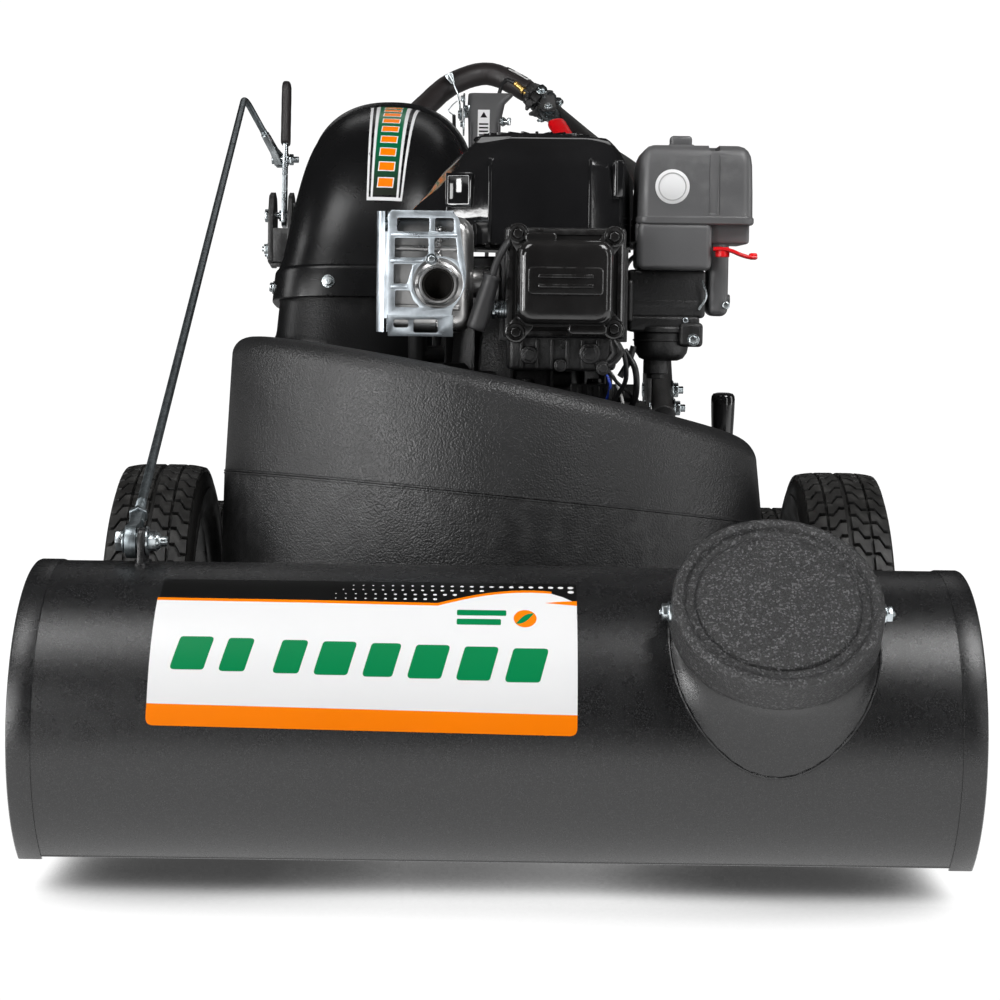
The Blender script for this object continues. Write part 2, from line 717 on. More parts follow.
def keep_node(node, material_name, bevel_mm):
    """A CAD node that stays: welded, its edges softened, with its own material."""
    ob = frame["nodes"][node]
    ob.modifiers.new("weld", "WELD").merge_threshold = 1e-5
    soften = ob.modifiers.new("bevel", "BEVEL")
    soften.width = bevel_mm / 1000
    soften.segments = 2
    soften.limit_method = "ANGLE"
    soften.angle_limit = math.radians(40)
    soften.use_clamp_overlap = True
    ob.modifiers.new("smooth", "NODES").node_group = SMOOTH_GROUP
    slots = ob.data.materials
    if len(slots) == 0:
        slots.append(MATERIALS[material_name])
    for i in range(len(slots)):
        slots[i] = MATERIALS[material_name]


# ------------------------------------------------------------------ intake nozzle
PORT_AXIS = Vec((0, -0.70710678, 0.70710678))   # forward and up at 45 degrees
PORT_UP = Vec((0, 0.70710678, 0.70710678))
MOUTH_START, MOUTH_END = math.radians(227), math.radians(-47)  # lips, over the top
EAR_X0, EAR_X1 = -288.5, -283.5

# (radius, distance outward from the middle of the nozzle)
NOZZLE_END = [
    (0, 366.4), (60, 366.4), (100, 366.2), (106, 366.8), (111, 368.2), (114.5, 369.6),
    (118.5, 370.2), (123.5, 370.6), (126.4, 370.4), (127.5, 369.6), (128.0, 368.4),
    (128.0, 352.6), (127.7, 351.7), (126.6, 351.4), (126.4, 352.0), (126.4, 361),
    (122, 364.6), (113, 365.4), (0, 364.8)]
# (radius, distance along the port axis): rim, groove and disc, then the skirt
PORT_CAP = [
    (0, 168.2), (30, 168.1), (54, 167.7), (59.4, 167.3), (61.6, 166.4), (62.8, 164.8),
    (63.4, 163.4), (65.0, 162.8), (68.6, 162.8), (70.0, 163.6), (70.9, 165.6), (72.2, 167.4),
    (74.2, 168.4), (75.8, 168.5), (78.0, 167.9), (79.6, 166.4), (80.3, 164.2), (80.5, 161),
    (80.5, 147), (81.0, 144), (81.0, 139.4), (80.4, 138.2), (79.5, 138), (77.4, 138),
    (76.7, 138.6), (76.7, 162.2), (74, 163.2), (72.6, 162.6), (71.4, 160.6), (0, 160.6)]


def port_point(radius, angle, along):
    return (Vec((PORT_X + radius * math.cos(angle), 0, NOZZLE_Z)) + PORT_AXIS * along
            + PORT_UP * (radius * math.sin(angle)))


def nozzle_shell():
    steps = 132
    section = [(-NOZZLE_HALF, NOZZLE_R - 3), (-NOZZLE_HALF, NOZZLE_R - 0.4),
               (-NOZZLE_HALF + 0.4, NOZZLE_R)]
    section += [(-x, radius) for x, radius in section[::-1]]
    rings = []
    for i in range(steps + 1):
        angle = MOUTH_START + (MOUTH_END - MOUTH_START) * i / steps
        rings.append([(x, r * math.cos(angle), NOZZLE_Z + r * math.sin(angle))
                      for x, r in section])
    shell = cut(loft(rings),
                cyl(port_point(0, 0, 60), port_point(0, 0, 200), PORT_R + 0.4, sides=96),
                box(-92.5, 92.5, 90, 140, 76.5, 153.5, 0))
    # rolled hem along both lips of the mouth
    hems = []
    for angle in (MOUTH_START, MOUTH_END):
        y = (NOZZLE_R - 1.6) * math.cos(angle)
        z = NOZZLE_Z + (NOZZLE_R - 1.6) * math.sin(angle)
        hems.append(sweep([(x, y, z) for x in (-NOZZLE_HALF + 2, 0, NOZZLE_HALF - 2)], 2.0, 14))
    # ear for the lift rod, with a weld bead along each side; outline in (y, z)
    ear = prism(round_corners([(-17, 246.5), (17, 246.5), (13.5, 268), (9, 279), (-9, 279),
                               (-13.5, 268)], [1, 1, 6, 7, 7, 6]), along_x, EAR_X0, EAR_X1)
    ear = bevel(cut(ear, cyl((-300, 0, ROD_PIN_Z), (-270, 0, ROD_PIN_Z), 4.6)), 0.5, 2, 40)
    beads = []
    for x in (EAR_X0 - 0.3, EAR_X1 + 0.3):
        path = [(x + 0.25 * math.sin(k * 1.9), k - 17,
                 NOZZLE_Z + math.sqrt(NOZZLE_R ** 2 - (k - 17) ** 2) + 0.3) for k in range(35)]
        beads.append(sweep(path, bead_radii(35, 1.5, 0.25, 2.3), 10))
    piece("nozzle_shell", join(shell, *hems, ear, *beads), "powder_coat",
          "nozzle_tube", body="nozzle", smooth=32)


def nozzle_ends():
    """Dished end pressings, flanged over the tube and cut off flat below."""
    for name, side in (("left", -1), ("right", 1)):
        part = cut(lathe(NOZZLE_END, (0, 0, NOZZLE_Z), (side, 0, 0), 160),
                   box(-420, 420, -220, 220, -90, 28, 0))
        piece(f"nozzle_{name}_pressing", part, "powder_coat",
              f"nozzle_{name}_end", body="nozzle", smooth=30)


def saddle(radius, angle):
    """How far along the port axis a line at this place meets the nozzle tube."""
    return math.sqrt(max(0.0, NOZZLE_R ** 2 - (radius * math.sin(angle)) ** 2))


def flare_width(angle):
    return 4.5 + 20.5 * max(0.0, -math.sin(angle)) ** 1.6


def port_section(angle):
    """Closed section of the hose port at one angle, as (radius, along)."""
    width = flare_width(angle)
    section = [(73, saddle(73, angle) - 8), (73, 161.4), (73.7, 162), (75.3, 162), (76, 161.3)]
    steps = 12
    for k in range(steps + 1):
        t = k / steps
        outward = 0.6 * (1 - math.cos(t * PI / 2)) + 0.4 * t
        upward = 0.6 * (1 - math.sin(t * PI / 2)) + 0.4 * (1 - t)
        radius = PORT_R + outward * width
        section.append((radius, min(150, saddle(radius, angle) + upward * width + 0.15)))
    foot = PORT_R + width + 0.8
    return section + [(foot, saddle(foot, angle) - 0.8), (78, saddle(78, angle) - 5)]


def hose_port():
    columns = [[port_point(radius, angle, along) for radius, along in port_section(angle)]
               for angle in angles(128)]
    stub = loft(list(zip(*columns)), cap=False, loop=True)
    # thin weld line where the flare meets the tube
    path, radii = [], []
    for k in range(181):
        angle = 2 * PI * k / 180
        radius = PORT_R + flare_width(angle) - 0.4
        path.append(port_point(radius, angle, saddle(radius, angle) + 0.1))
        radii.append(1.25 + 0.25 * math.sin(k * 1.7) + 0.12 * math.sin(k * 0.63))
    piece("hose_port_stub", join(stub, sweep(path, radii, 8, cap=False)), "powder_coat",
          "hose_port", body="nozzle", smooth=40)


def port_cap():
    piece("hose_port_lid", lathe(PORT_CAP, (PORT_X, 0, NOZZLE_Z), PORT_AXIS, 160),
          "cap_pebble", "hose_port_cap", body="port_cap", smooth=40)
    centre = Vec((PORT_X, 0, NOZZLE_Z)) + PORT_AXIS * 151
    for name, side in (("left", -1), ("right", 1)):
        way = (side, 0, 0)

        def beside(offset):
            return PORT_X + side * offset, centre.y, centre.z
        part = join(lathe([(0, -0.4), (8.2, -0.4), (8.2, 1.0), (7.8, 1.5), (0, 1.5)],
                          beside(80.9), way, 32),
                    hexagon(beside(82.2), way, 6.6, 5.2, turn=0.3),
                    thread(beside(87), beside(89.3), 2.8))
        piece(f"cap_bolt_{name}", part, "zinc_plate", f"cap_screw_{name}",
              body="port_cap", smooth=30)


def spout():
    """The spout pressing stays; beads weld its upper and lower edges to the tube."""
    keep_node("throat_spout", "powder_coat", 0.8)
    beads = []
    for z in (77, 153.4):
        path = [(-92 + 184 * k / 60, 131.1 + 0.2 * math.sin(k * 2.1),
                 z + 0.25 * math.sin(k * 1.3)) for k in range(61)]
        beads.append(sweep(path, bead_radii(61, 1.6, 0.3, 2.7), 8))
    piece("spout_welds", join(*beads), "powder_coat", body="nozzle")


def rod_lower_bolt():
    """Hex head, washers, locking nut and thread end of the lift rod's lower bolt."""
    def at(x):
        return x, 0, ROD_PIN_Z
    part = join(hexagon(at(-301.6), LEFT, 9.0, 6.0, turn=0.5),
                washer(at(-300.8), LEFT, 9.8, 1.2, 0.5, sides=32),
                cyl(at(-302), at(-268), 4.0, sides=24),
                washer(at(-283.2), RIGHT, 12, 1.8, 0.6, hole=4, sides=40),
                washer(at(-290.3), RIGHT, 10.8, 1.4, 0.5, hole=4, sides=40),
                hexagon(at(-281.4), RIGHT, 8.6, 6.8, turn=0.2),
                lathe([(0, 0), (6.9, 0), (6.9, 1.6), (5.6, 3.0), (4.6, 3.4), (0, 3.4)],
                      at(-274.6), RIGHT, 32),
                thread(at(-272), at(-266.2), 4.0))
    piece("rod_lower_bolt_set", part, "zinc_plate", "rod_lower_bolt",
          body="nozzle", smooth=32)


# ------------------------------------------------------------------ impeller housing
DUCT_CURVE = [Vec((-138, 513, 462)), Vec((-130, 524, 550)), Vec((-122, 568, 585)),
              Vec((-121, 655, 585))]    # control points of the elbow's centre line


def seam_z(x, y):
    """Sloping seam between the two housing halves."""
    return 271 - 0.0885 * (x - DRUM_X) - 0.1 * (y - DRUM_Y)


def top_z(x, y):
    """Sloping top of the housing."""
    return 378 - 0.192 * (x - DRUM_X) - 0.092 * (y - DRUM_Y)


def duct_at(t):
    """Centre and direction of the duct, from the housing (0) to its outlet (1)."""
    a, b, c, d = DUCT_CURVE
    centre = a * (1 - t) ** 3 + b * (3 * t * (1 - t) ** 2) + c * (3 * t * t * (1 - t)) + d * t ** 3
    way = (b - a) * (3 * (1 - t) ** 2) + (c - b) * (6 * t * (1 - t)) + (d - c) * (3 * t * t)
    return centre, way.normalized()


def duct_section(t):
    """Centre, direction, cross direction, half sizes and exponent of the duct section."""
    centre, way = duct_at(t)
    length = math.hypot(way.y, way.z)
    across = Vec((0, way.z / length, -way.y / length))
    return centre, way, across, 84 + 9 * (1 - t) ** 3, 77 + 7 * t, 3 - 0.7 * t


def duct_ring(t, grow, count=96, push=0.0):
    """Superellipse ring of the duct, grown outward and pushed along it."""
    centre, way, across, half_x, half_w, exponent = duct_section(t)
    ring = []
    for angle in angles(count):
        x = (half_x + grow) * signed_power(math.cos(angle), 2 / exponent)
        w = (half_w + grow) * signed_power(math.sin(angle), 2 / exponent)
        ring.append(centre + Vec((x, w * across.y, w * across.z)) + way * push)
    return ring


def drum_ring(radius, height, count=144):
    """Ring round the drum axis; height gives z at each (x, y)."""
    spots = [(DRUM_X + radius * math.cos(angle), DRUM_Y + radius * math.sin(angle))
             for angle in angles(count)]
    return [(x, y, height(x, y)) for x, y in spots]


def wide_square(height):
    """Square well outside the housing, with z from height(x, y)."""
    return [(x, y, height(x, y))
            for x, y in ((-500, -200), (500, -200), (500, 900), (-500, 900))]


def duct_neck():
    """Neck of the duct, flared where it leaves the housing top."""
    way = duct_at(0)[1]
    flare = 17.0

    def foot(grow, lift):
        ring = []
        for p in duct_ring(0, grow - 6):
            point = p + way * ((top_z(p.x, p.y) + lift - p.z) / way.z)
            # outside the drum the skirt turns down and in, under the overhang
            radius = math.hypot(point.x - DRUM_X, point.y - DRUM_Y)
            if radius > 240:
                point.z -= (radius - 240) * 0.55
            ring.append(point)
        return ring
    rings = [duct_ring(0, -26, push=-150), duct_ring(0, -9, push=-112),
             foot(flare * 0.95, -3.0)]
    for k in range(9):
        angle = PI / 2 * k / 8
        rings.append(foot(flare * (1 - math.sin(angle)), flare * (1 - math.cos(angle)) * 1.15))
    rings += [duct_ring(0, grow, push=push) for grow, push in ((-6, -2), (-9.5, 1), (-12.5, -95))]
    piece("duct_neck", loft(rings, cap=False), "neck_shell", smooth=30)


def upper_housing():
    rings = [drum_ring(258.6, lambda x, y: 215)]
    for radius, rise in ((260, 0.2), (261.1, 0.4), (261.1, 1.5), (260.0, 2.3)):
        rings.append(drum_ring(radius, lambda x, y: seam_z(x, y) + rise))
    for k in range(1, 6):
        t = k / 6
        rings.append(drum_ring(260 - 6.3 * t, lambda x, y: (seam_z(x, y) + 2.3) * (1 - t)
                               + (top_z(x, y) - 22) * t))
    for k in range(11):
        angle = PI / 2 * k / 10
        rings.append(drum_ring(253.6 - 21.6 * (1 - math.cos(angle)),
                               lambda x, y: top_z(x, y) - 21.6 * (1 - math.sin(angle))))
    rings += [drum_ring(200, top_z), drum_ring(120, top_z)]

    def engine_pad(radius, z0, z1, chamfer):
        """Two overlapping discs, the smaller one to the right."""
        return [cyl((x, SHAFT_Y, z0), (x, SHAFT_Y, z1), r, sides=96, chamfer=chamfer)
                for x, r in ((SHAFT_X, radius), (SHAFT_X + 42, radius - 10))]
    shaft_hole = cyl((SHAFT_X, SHAFT_Y, 330), (SHAFT_X, SHAFT_Y, 390), 17, sides=48)
    hollow = loft([drum_ring(255, lambda x, y: 200), drum_ring(255, seam_z),
                   drum_ring(247, lambda x, y: top_z(x, y) - 25),
                   drum_ring(227, lambda x, y: top_z(x, y) - 5.5),
                   drum_ring(60, lambda x, y: top_z(x, y) - 5.5)])
    below_seam = loft([wide_square(lambda x, y: -300),
                       wide_square(lambda x, y: seam_z(x, y) + 0.25)])
    shell = cut(loft(rings), *engine_pad(101.5, 358.4, 480, 0.0))
    shell = cut(shell, hollow, shaft_hole, below_seam)
    shell = cut(shell, loft([duct_ring(0, -12.6, push=-160), duct_ring(0, -12.6, push=20)]))
    # the pad is a plate of its own with a rolled rim, set over the cut in the shell
    pad = cut(cut(*engine_pad(100, 346, 360, 2.5), operation="UNION"), shaft_hole)
    piece("upper_shell", join(shell, pad), "housing_shell",
          "upper_housing", smooth=30)


def lower_housing():
    """Lower half with the inlet duct at its front."""
    def cup(grow, z0):
        return lathe([(0, z0), (254 + grow, z0), (259 + grow, z0 + 1.2),
                      (262.8 + grow, z0 + 4.8), (264 + grow, z0 + 10), (260 + grow, 320),
                      (0, 320)], (DRUM_X, DRUM_Y, 0), UP, 144)
    above_seam = loft([wide_square(lambda x, y: seam_z(x, y) - 0.25),
                       wide_square(lambda x, y: 700)])
    shell = cut(cup(0, 170), box(-102, 102, 148, 490, 64, 172, 7, 4), operation="UNION")
    shell = cut(shell, cup(-5, 175), box(-97, 97, 140, 485, 69, 165, 5, 3),
                cyl((SHAFT_X, SHAFT_Y, 150), (SHAFT_X, SHAFT_Y, 190), 88, sides=72),
                above_seam)
    # lip under the seam: (radius, drop below the seam)
    rings = []
    for radius, drop in ((259.9, 0.4), (261.2, 0.6), (261.2, 1.8), (260.0, 2.6), (258, 1.5)):
        rings.append(drum_ring(radius, lambda x, y: seam_z(x, y) - drop, 200))
    piece("lower_shell", join(shell, loft(rings, cap=False, loop=True)), "housing_shell",
          "lower_housing", smooth=30)


def discharge_elbow():
    steps, sides = 44, 112
    # (grow, push): lower collar outside, then outlet collar
    lower_collar = [(-6.5, 6), (-6.2, -5), (-3, -6), (0.4, -6), (1.2, -5.2), (1.4, -4),
                    (1.4, 21), (1.1, 23.5), (0.2, 25.4), (-1.2, 26.6)]
    outlet_collar = [(-1, 0), (3.6, 0.3), (4.7, 1.0), (5, 2.0), (5, 20.4), (4.5, 21.6),
                     (3.4, 22), (-4, 22), (-5, 21), (-5, 0)]
    start = duct_at(0)[0]
    rings = [duct_ring(0, grow, sides, push) for grow, push in lower_collar]
    for i in range(1, steps + 1):
        # the collar already covers the first stretch
        if (duct_at(i / steps)[0] - start).length >= 31:
            rings.append(duct_ring(i / steps, -1.2, sides))
    rings += [duct_ring(1, grow, sides, push) for grow, push in outlet_collar]
    rings += [duct_ring(i / steps, -5, sides) for i in range(steps - 1, 0, -1)]
    rings.append(duct_ring(0, -5, sides, 10))
    piece("discharge_elbow", loft(rings, cap=False, loop=True), "duct_shell",
          "exhaust_elbow", smooth=32)


def elbow_screws():
    """Screws that hold the elbow to the neck."""
    sides = 112
    start, way = duct_at(0)
    ring = duct_ring(0, 1.4, sides, 9)
    centre = start + way * 9
    head = [(0, -0.5), (6.6, -0.5), (6.6, 0.7), (6.2, 1.1), (4.9, 1.2), (4.7, 3.4),
            (3.8, 4.3), (1.4, 4.5), (1.0, 3.4), (0, 3.4)]
    screws = []
    for k in (80, 98, 12, 30, 59):
        point = ring[k]
        normal = way.cross(ring[k + 1] - ring[k - 1]).normalized()
        if normal.dot(point - centre) < 0:
            normal = -normal
        screws.append(lathe(head, point, normal, 28))
    piece("elbow_screws", join(*screws), "zinc_plate", smooth=35)


# ------------------------------------------------------------------ decals
# Thin raised films: outlines in surface coordinates, laid on by a place function.
DEGREE_MM = 2.2167              # arc length of one degree on the nozzle
NOZZLE_STEP = (8.0, 1.6)        # grid of a nozzle film: mm, degrees


def film(name, shapes, material_name, place, lift, step, body="chassis"):
    """Split outlines by a grid, lay them at place(a, b, lift) and give them thickness."""
    mesh = bmesh.new()
    for outline in shapes:
        mesh.faces.new([mesh.verts.new((a, b, 0)) for a, b in outline])
    spans = [(min(values), max(values))
             for values in ([v.co[axis] for v in mesh.verts] for axis in (0, 1))]
    for axis, (low, high) in enumerate(spans):
        count = int((high - low) / step[axis])
        for k in range(1, count + 1):
            spot, normal = [0, 0, 0], [0, 0, 0]
            spot[axis] = low + (high - low) * k / (count + 1)
            normal[axis] = 1
            bmesh.ops.bisect_plane(mesh, geom=mesh.verts[:] + mesh.edges[:] + mesh.faces[:],
                                   plane_co=spot, plane_no=normal)
    flat = [(v.co.x, v.co.y) for v in mesh.verts]
    mesh.verts.index_update()
    faces = [tuple(v.index for v in f.verts) for f in mesh.faces]
    rims = [tuple(v.index for v in e.verts) for e in mesh.edges if len(e.link_faces) == 1]
    mesh.free()
    size = len(flat)
    points = [place(a, b, level) for level in (lift, lift - 0.12) for a, b in flat]
    faces += ([tuple(i + size for i in face[::-1]) for face in faces]
              + [(i, j, j + size, i + size) for i, j in rims])
    piece(name, (points, faces), material_name, body=body, smooth=50, weld=1e-6)


def on_nozzle(x, degrees, lift):
    """Point on the nozzle at an angle above the front horizontal."""
    radius, angle = NOZZLE_R + lift, math.radians(degrees)
    return x, -radius * math.cos(angle), NOZZLE_Z + radius * math.sin(angle)


def rounded_mm(outline, radius, steps):
    """Round (x, degrees) corners as they lie on the tube, in mm."""
    flat = [(x, degrees * DEGREE_MM) for x, degrees in outline]
    return [(x, arc / DEGREE_MM) for x, arc in round_corners(flat, radius, steps)]


def crest(t):
    """Top of the panel's wave, in degrees, for t from 0 to 1 along it."""
    return 55.2 + 7.4 * math.sin(t * PI * 0.62) / math.sin(PI * 0.62)


def fading_dots():
    """Rows of dots that grow to the right and shrink upward, clear of the wave."""
    dots = []
    for row, degrees in enumerate((58.6, 61.2, 63.8, 66.6)):
        for column in range(26):
            x = -134 + column * 7.7 + (row % 2) * 1.0 - row * 1.2
            radius = (0.35 + 2.3 * (x + 140) / 200) * (1 - 0.08 * row)
            clear = crest(min(1, max(0, (x + 47) / 88))) + 1.9 if x > -52 else 57.2
            hidden = degrees - radius / DEGREE_MM < clear and x < 52
            if x > 58 or hidden or radius < 0.45:
                continue
            dots.append([(x + radius * 1.15 * math.cos(angle),
                          degrees + radius * 0.85 / DEGREE_MM * math.sin(angle))
                         for angle in angles(12)])
    return dots


def nozzle_decals():
    def lay(name, shapes, material_name, lift, step=NOZZLE_STEP):
        film(name, shapes, material_name, on_nozzle, lift, step, "nozzle")
    # black carrier, and a white panel with a raised wave at its right end
    lay("decal_carrier", [round_corners([(-264, 14), (60.5, 14), (60.5, 69.5), (-262, 69.5)],
                                        1.5, 3)], "decal_black", 0.14)
    top = [(-264, 56.3), (-150, 55.9), (-47, 55.2)]
    top += [(-47 + 88 * k / 12, crest(k / 12)) for k in range(1, 13)]
    tail = [(50, 60.6), (57.5, 58.2), (47, 57.0), (60.5, 56.2)]
    lay("decal_panel", [([(60.5, 12.0), (-264.5, 14.2)] + top + tail)[::-1]],
        "decal_white", 0.28)
    lay("decal_line", [top + [(x, degrees + 1.35) for x, degrees in top[::-1]]],
        "decal_orange", 0.36)
    lay("decal_line_end", [[(36, 57.3), (60.5, 56.0), (60.5, 58.4), (50, 58.2)]],
        "decal_orange", 0.36)
    # foot band with round lower corners; its corners are (x, mm of arc)
    band = [(-265, 8.2 * DEGREE_MM), (60.5, 6.3 * DEGREE_MM), (60.5, 13.4 * DEGREE_MM),
            (-264.5, 15.6 * DEGREE_MM)]
    lay("decal_band", [[(x, arc / DEGREE_MM)
                        for x, arc in round_corners(band, [6, 6, 0.3, 0.3], 6)]],
        "decal_orange", 0.36)
    # slanted bars in place of lettering: (left edge, width)
    slant = 7.0
    bars = []
    for x, width in ((-249, 33), (-212, 27), (-171, 27), (-140, 33), (-103, 30), (-69, 33),
                     (-32, 33), (5, 34)):
        drop = 0.012 * (x + 249)
        bars.append(rounded_mm([(x, 27.5 - drop), (x + width - slant, 27.5 - drop),
                                (x + width, 40.0 - drop), (x + slant, 40.0 - drop)], 3.0, 4))
    lay("decal_bars", bars, "decal_green", 0.42, (5, 1.2))
    # small mark: a disc with a leaf, and two short bars
    mark_x, mark_angle = 20.5, 49.5
    lay("decal_disc", [[(mark_x + 8.8 * math.cos(angle),
                         mark_angle + 8.8 / DEGREE_MM * math.sin(angle))
                        for angle in angles(40)]], "decal_orange", 0.42, (4, 1.2))

    def leaf_edge(t, side):
        return (mark_x - 7 + 14 * t, mark_angle - 5.4 / DEGREE_MM + 10.8 / DEGREE_MM * t
                + side * 3.4 / DEGREE_MM * math.sin(PI * t))
    leaf = [leaf_edge(k / 20, 1) for k in range(21)]
    leaf += [leaf_edge(1 - k / 20, -1) for k in range(1, 20)]
    lay("decal_leaf", [leaf[::-1]], "decal_green", 0.5, (4, 1.2))
    lay("decal_short_bars", [rounded_mm([(-32, low), (x, low), (x, high), (-32, high)], 1.2, 3)
                             for x, low, high in ((6, 50.6, 53.2), (2, 46.4, 49.0))],
        "decal_green", 0.42, (5, 1.2))
    lay("decal_dots", fading_dots(), "decal_white", 0.3, (400, 60))


def on_elbow(x, t, lift):
    """Point on the front and upper face of the elbow, at x from its centre line."""
    centre, _, across, half_x, half_w, exponent = duct_section(t)
    half_x, half_w = half_x - 1.2, half_w - 1.2
    w = -half_w * max(0.0, 1 - abs(x / half_x) ** exponent) ** (1 / exponent) - lift
    return centre + Vec((x, 0, 0)) + across * w


def fade_material(foot_z):
    """Ink that fades from near black at foot_z (m) to green above."""
    made = MATERIALS["decal_fade"] = bpy.data.materials.new("decal_fade")
    made.use_nodes = True
    tree = made.node_tree
    shader = tree.nodes["Principled BSDF"]
    coords = object_coords(tree)
    height = add_node(tree, "SeparateXYZ", {0: coords}).outputs[2]
    fade = remap(tree, height, foot_z + 0.012, foot_z + 0.062)
    factor = calc(tree, "MULTIPLY_ADD", noise(tree, coords, 300), 0.12, fade)
    shade = mix_colour(tree, factor, (0.012, 0.008, 0.006, 1), (0.0, 0.13, 0.052, 1))
    tree.links.new(shade, shader.inputs["Base Color"])
    shader.inputs["Roughness"].default_value = 0.28


def elbow_decals():
    """Long decal that runs up the elbow, narrow strip by strip."""
    steps = 26
    t0, t1 = 0.287, 0.93
    left0, left1, right0, right1 = -5.0, -21.0, 30.0, 31.5  # edges at the foot and the top

    def mix(start, end, s):
        return start + (end - start) * s

    def strip(a0, a1, b0, b1, s0=0.0, s1=1.0):
        """Left edge from a0 to a1 and right edge from b0 to b1, up the decal."""
        left, right = [], []
        for k in range(steps + 1):
            s = s0 + (s1 - s0) * k / steps
            t = mix(t0, t1, s)
            left.append((mix(a0, a1, s), t))
            right.append((mix(b0, b1, s), t))
        return right + left[::-1]

    def lay(name, shapes, material_name, lift, step_t=0.05):
        film(name, shapes, material_name, on_elbow, lift, (6, step_t))
    lay("elbow_decal_ground", [strip(left0, left1, right0, right1)], "decal_black", 0.12)
    lines = [(left0, left1, left0 + 1.9, left1 + 3.2),
             (right0 - 1.9, right1 - 3.6, right0, right1),
             (left0 + 3.8, left1 + 7.0, left0 + 5.8, left1 + 11.0),
             (right0 - 5.8, right1 - 13.0, right0 - 3.8, right1 - 8.6)]
    for i, edges in enumerate(lines):
        lay(f"elbow_decal_line_{i}", [strip(*edges)], "decal_white", 0.22)
    lay("elbow_decal_foot", [strip(left0, left0, right0, right0, 0.0, 0.018)],
        "decal_white", 0.26)
    fade_material(on_elbow(12, t0, 0).z / 1000)
    lay("elbow_decal_fade",
        [strip(left0 + 6.0, left1 + 11.0, right0 - 6.0, right1 - 13.0, 0.03, 1.0)],
        "decal_fade", 0.22, 0.03)
    # dashes in place of lettering, each with a white edge
    for name, material_name, inset, lift in (
            ("elbow_decal_dash_edges", "decal_white", 0.0, 0.30),
            ("elbow_decal_dashes", "decal_orange", 1.0, 0.36)):
        dashes = []
        for k in range(9):
            s = 0.10 + k * 0.096
            left = mix(left0 + 9.6, left1 + 15.4, s) + inset
            right = mix(right0 - 9.6, right1 - 17.2, s) - inset
            half = 0.030 - inset * 0.006
            low, high = mix(t0, t1, s - half), mix(t0, t1, s + half)
            dashes.append([(right, low), (right, high), (left, high), (left, low)])
        lay(name, dashes, material_name, lift, 0.02)


# ------------------------------------------------------------------ engine
def crankcase():
    parts = [lathe([(0, 366.5), (90.5, 366.5), (92, 368), (92, 378), (90.5, 380), (83, 381),
                    (81, 386), (77.5, 426), (76, 432), (70.5, 503), (68, 505), (0, 505)],
                   (SHAFT_X, SHAFT_Y, 0), UP, 96)]
    parts += spokes(SHAFT_X, SHAFT_Y, 412, 80, 14, (6, 1.8, 32), 0.8, start=0.12)
    for angle in angles(7, 0.3):
        x, y = SHAFT_X + 86 * math.cos(angle), SHAFT_Y + 86 * math.sin(angle)
        parts.append(cyl((x, y, 376), (x, y, 386), 8.2, sides=24, chamfer=1.5))
        parts.append(bolt((x, y, 386), UP, 5.6, 4.5, washer_r=7.0, thick=1))
    parts += [box(4, 106, 300.5, 380, 400, 505, 5), box(-30, 66, 318, 345, 384, 398, 3),
              cyl((-34, 342, 396), (-56, 318, 396), 9, sides=24, chamfer=1.5),
              bolt((-56, 318, 396), (-0.67, -0.74, 0), 7, 6, washer_r=9)]
    piece("crankcase_casting", join(*parts), "cast_black", "crankcase",
          smooth=34)


def cylinder():
    """Head flange and finned cylinder."""
    parts = [box(12, 98, 226, 302, 440, 511, 3), box(1, 109, 213, 226, 431, 529, 3.5)]
    for i in range(9):
        y = 231 + i * 7.6
        parts.append(box(-3, 112, y, y + 2.6, 428 + 0.6 * i, 512, 0.9, 2))
    parts.append(box(6, 98, 216, 296, 402, 441, 4))
    for i in range(6):
        x = 16 + i * 13.5
        parts.append(box(x, x + 3, 212.5, 222, 404, 430, 0.9, 2))
    parts.append(cyl((20, 230, 442), (20, 230, 408), 12, 10, 32, 2))
    for x, z, radius in ((24, 416, 8), (78, 418, 9.5), (90, 405, 6.5), (52, 407, 6)):
        parts.append(cyl((x, 224, z), (x, 208.5, z), radius, sides=28, chamfer=1.4))
        parts.append(bolt((x, 208.5, z), FRONT, radius * 0.72, 4.2, turn=x * 0.1))
    # push-rod tower and governor arm on the right
    parts.append(sweep([(97, 222, 438), (101, 218, 418), (88, 222, 402)], 5, 16, rounding=2))
    arm = spline([(100, 215, 432), (106, 211, 420), (98, 209, 409), (84, 212, 403)], 18)
    parts.append(sweep(arm, 2.4, 10, rounding=1))
    piece("cylinder_casting", join(*parts), "cast_black", "cylinder_block",
          smooth=34)


def linkage_bracket():
    """Deck bracket and linkage behind the head, on the right."""
    rod = spline([(122, 300, 372), (118, 270, 380), (104, 248, 392), (96, 240, 402)], 16)
    parts = [box(60, 128, 300, 342, 371, 374, 1.0), box(98, 101, 262, 330, 374, 398, 1.0),
             box(64, 124, 296, 299, 374, 388, 1), sweep(rod, 1.6, 10)]
    parts += [box(x, x + 4, 294, 297, 376, 386, 0.6, 2) for x in range(70, 120, 10)]
    piece("linkage_bracket", join(*parts), "dark_plastic", smooth=34)


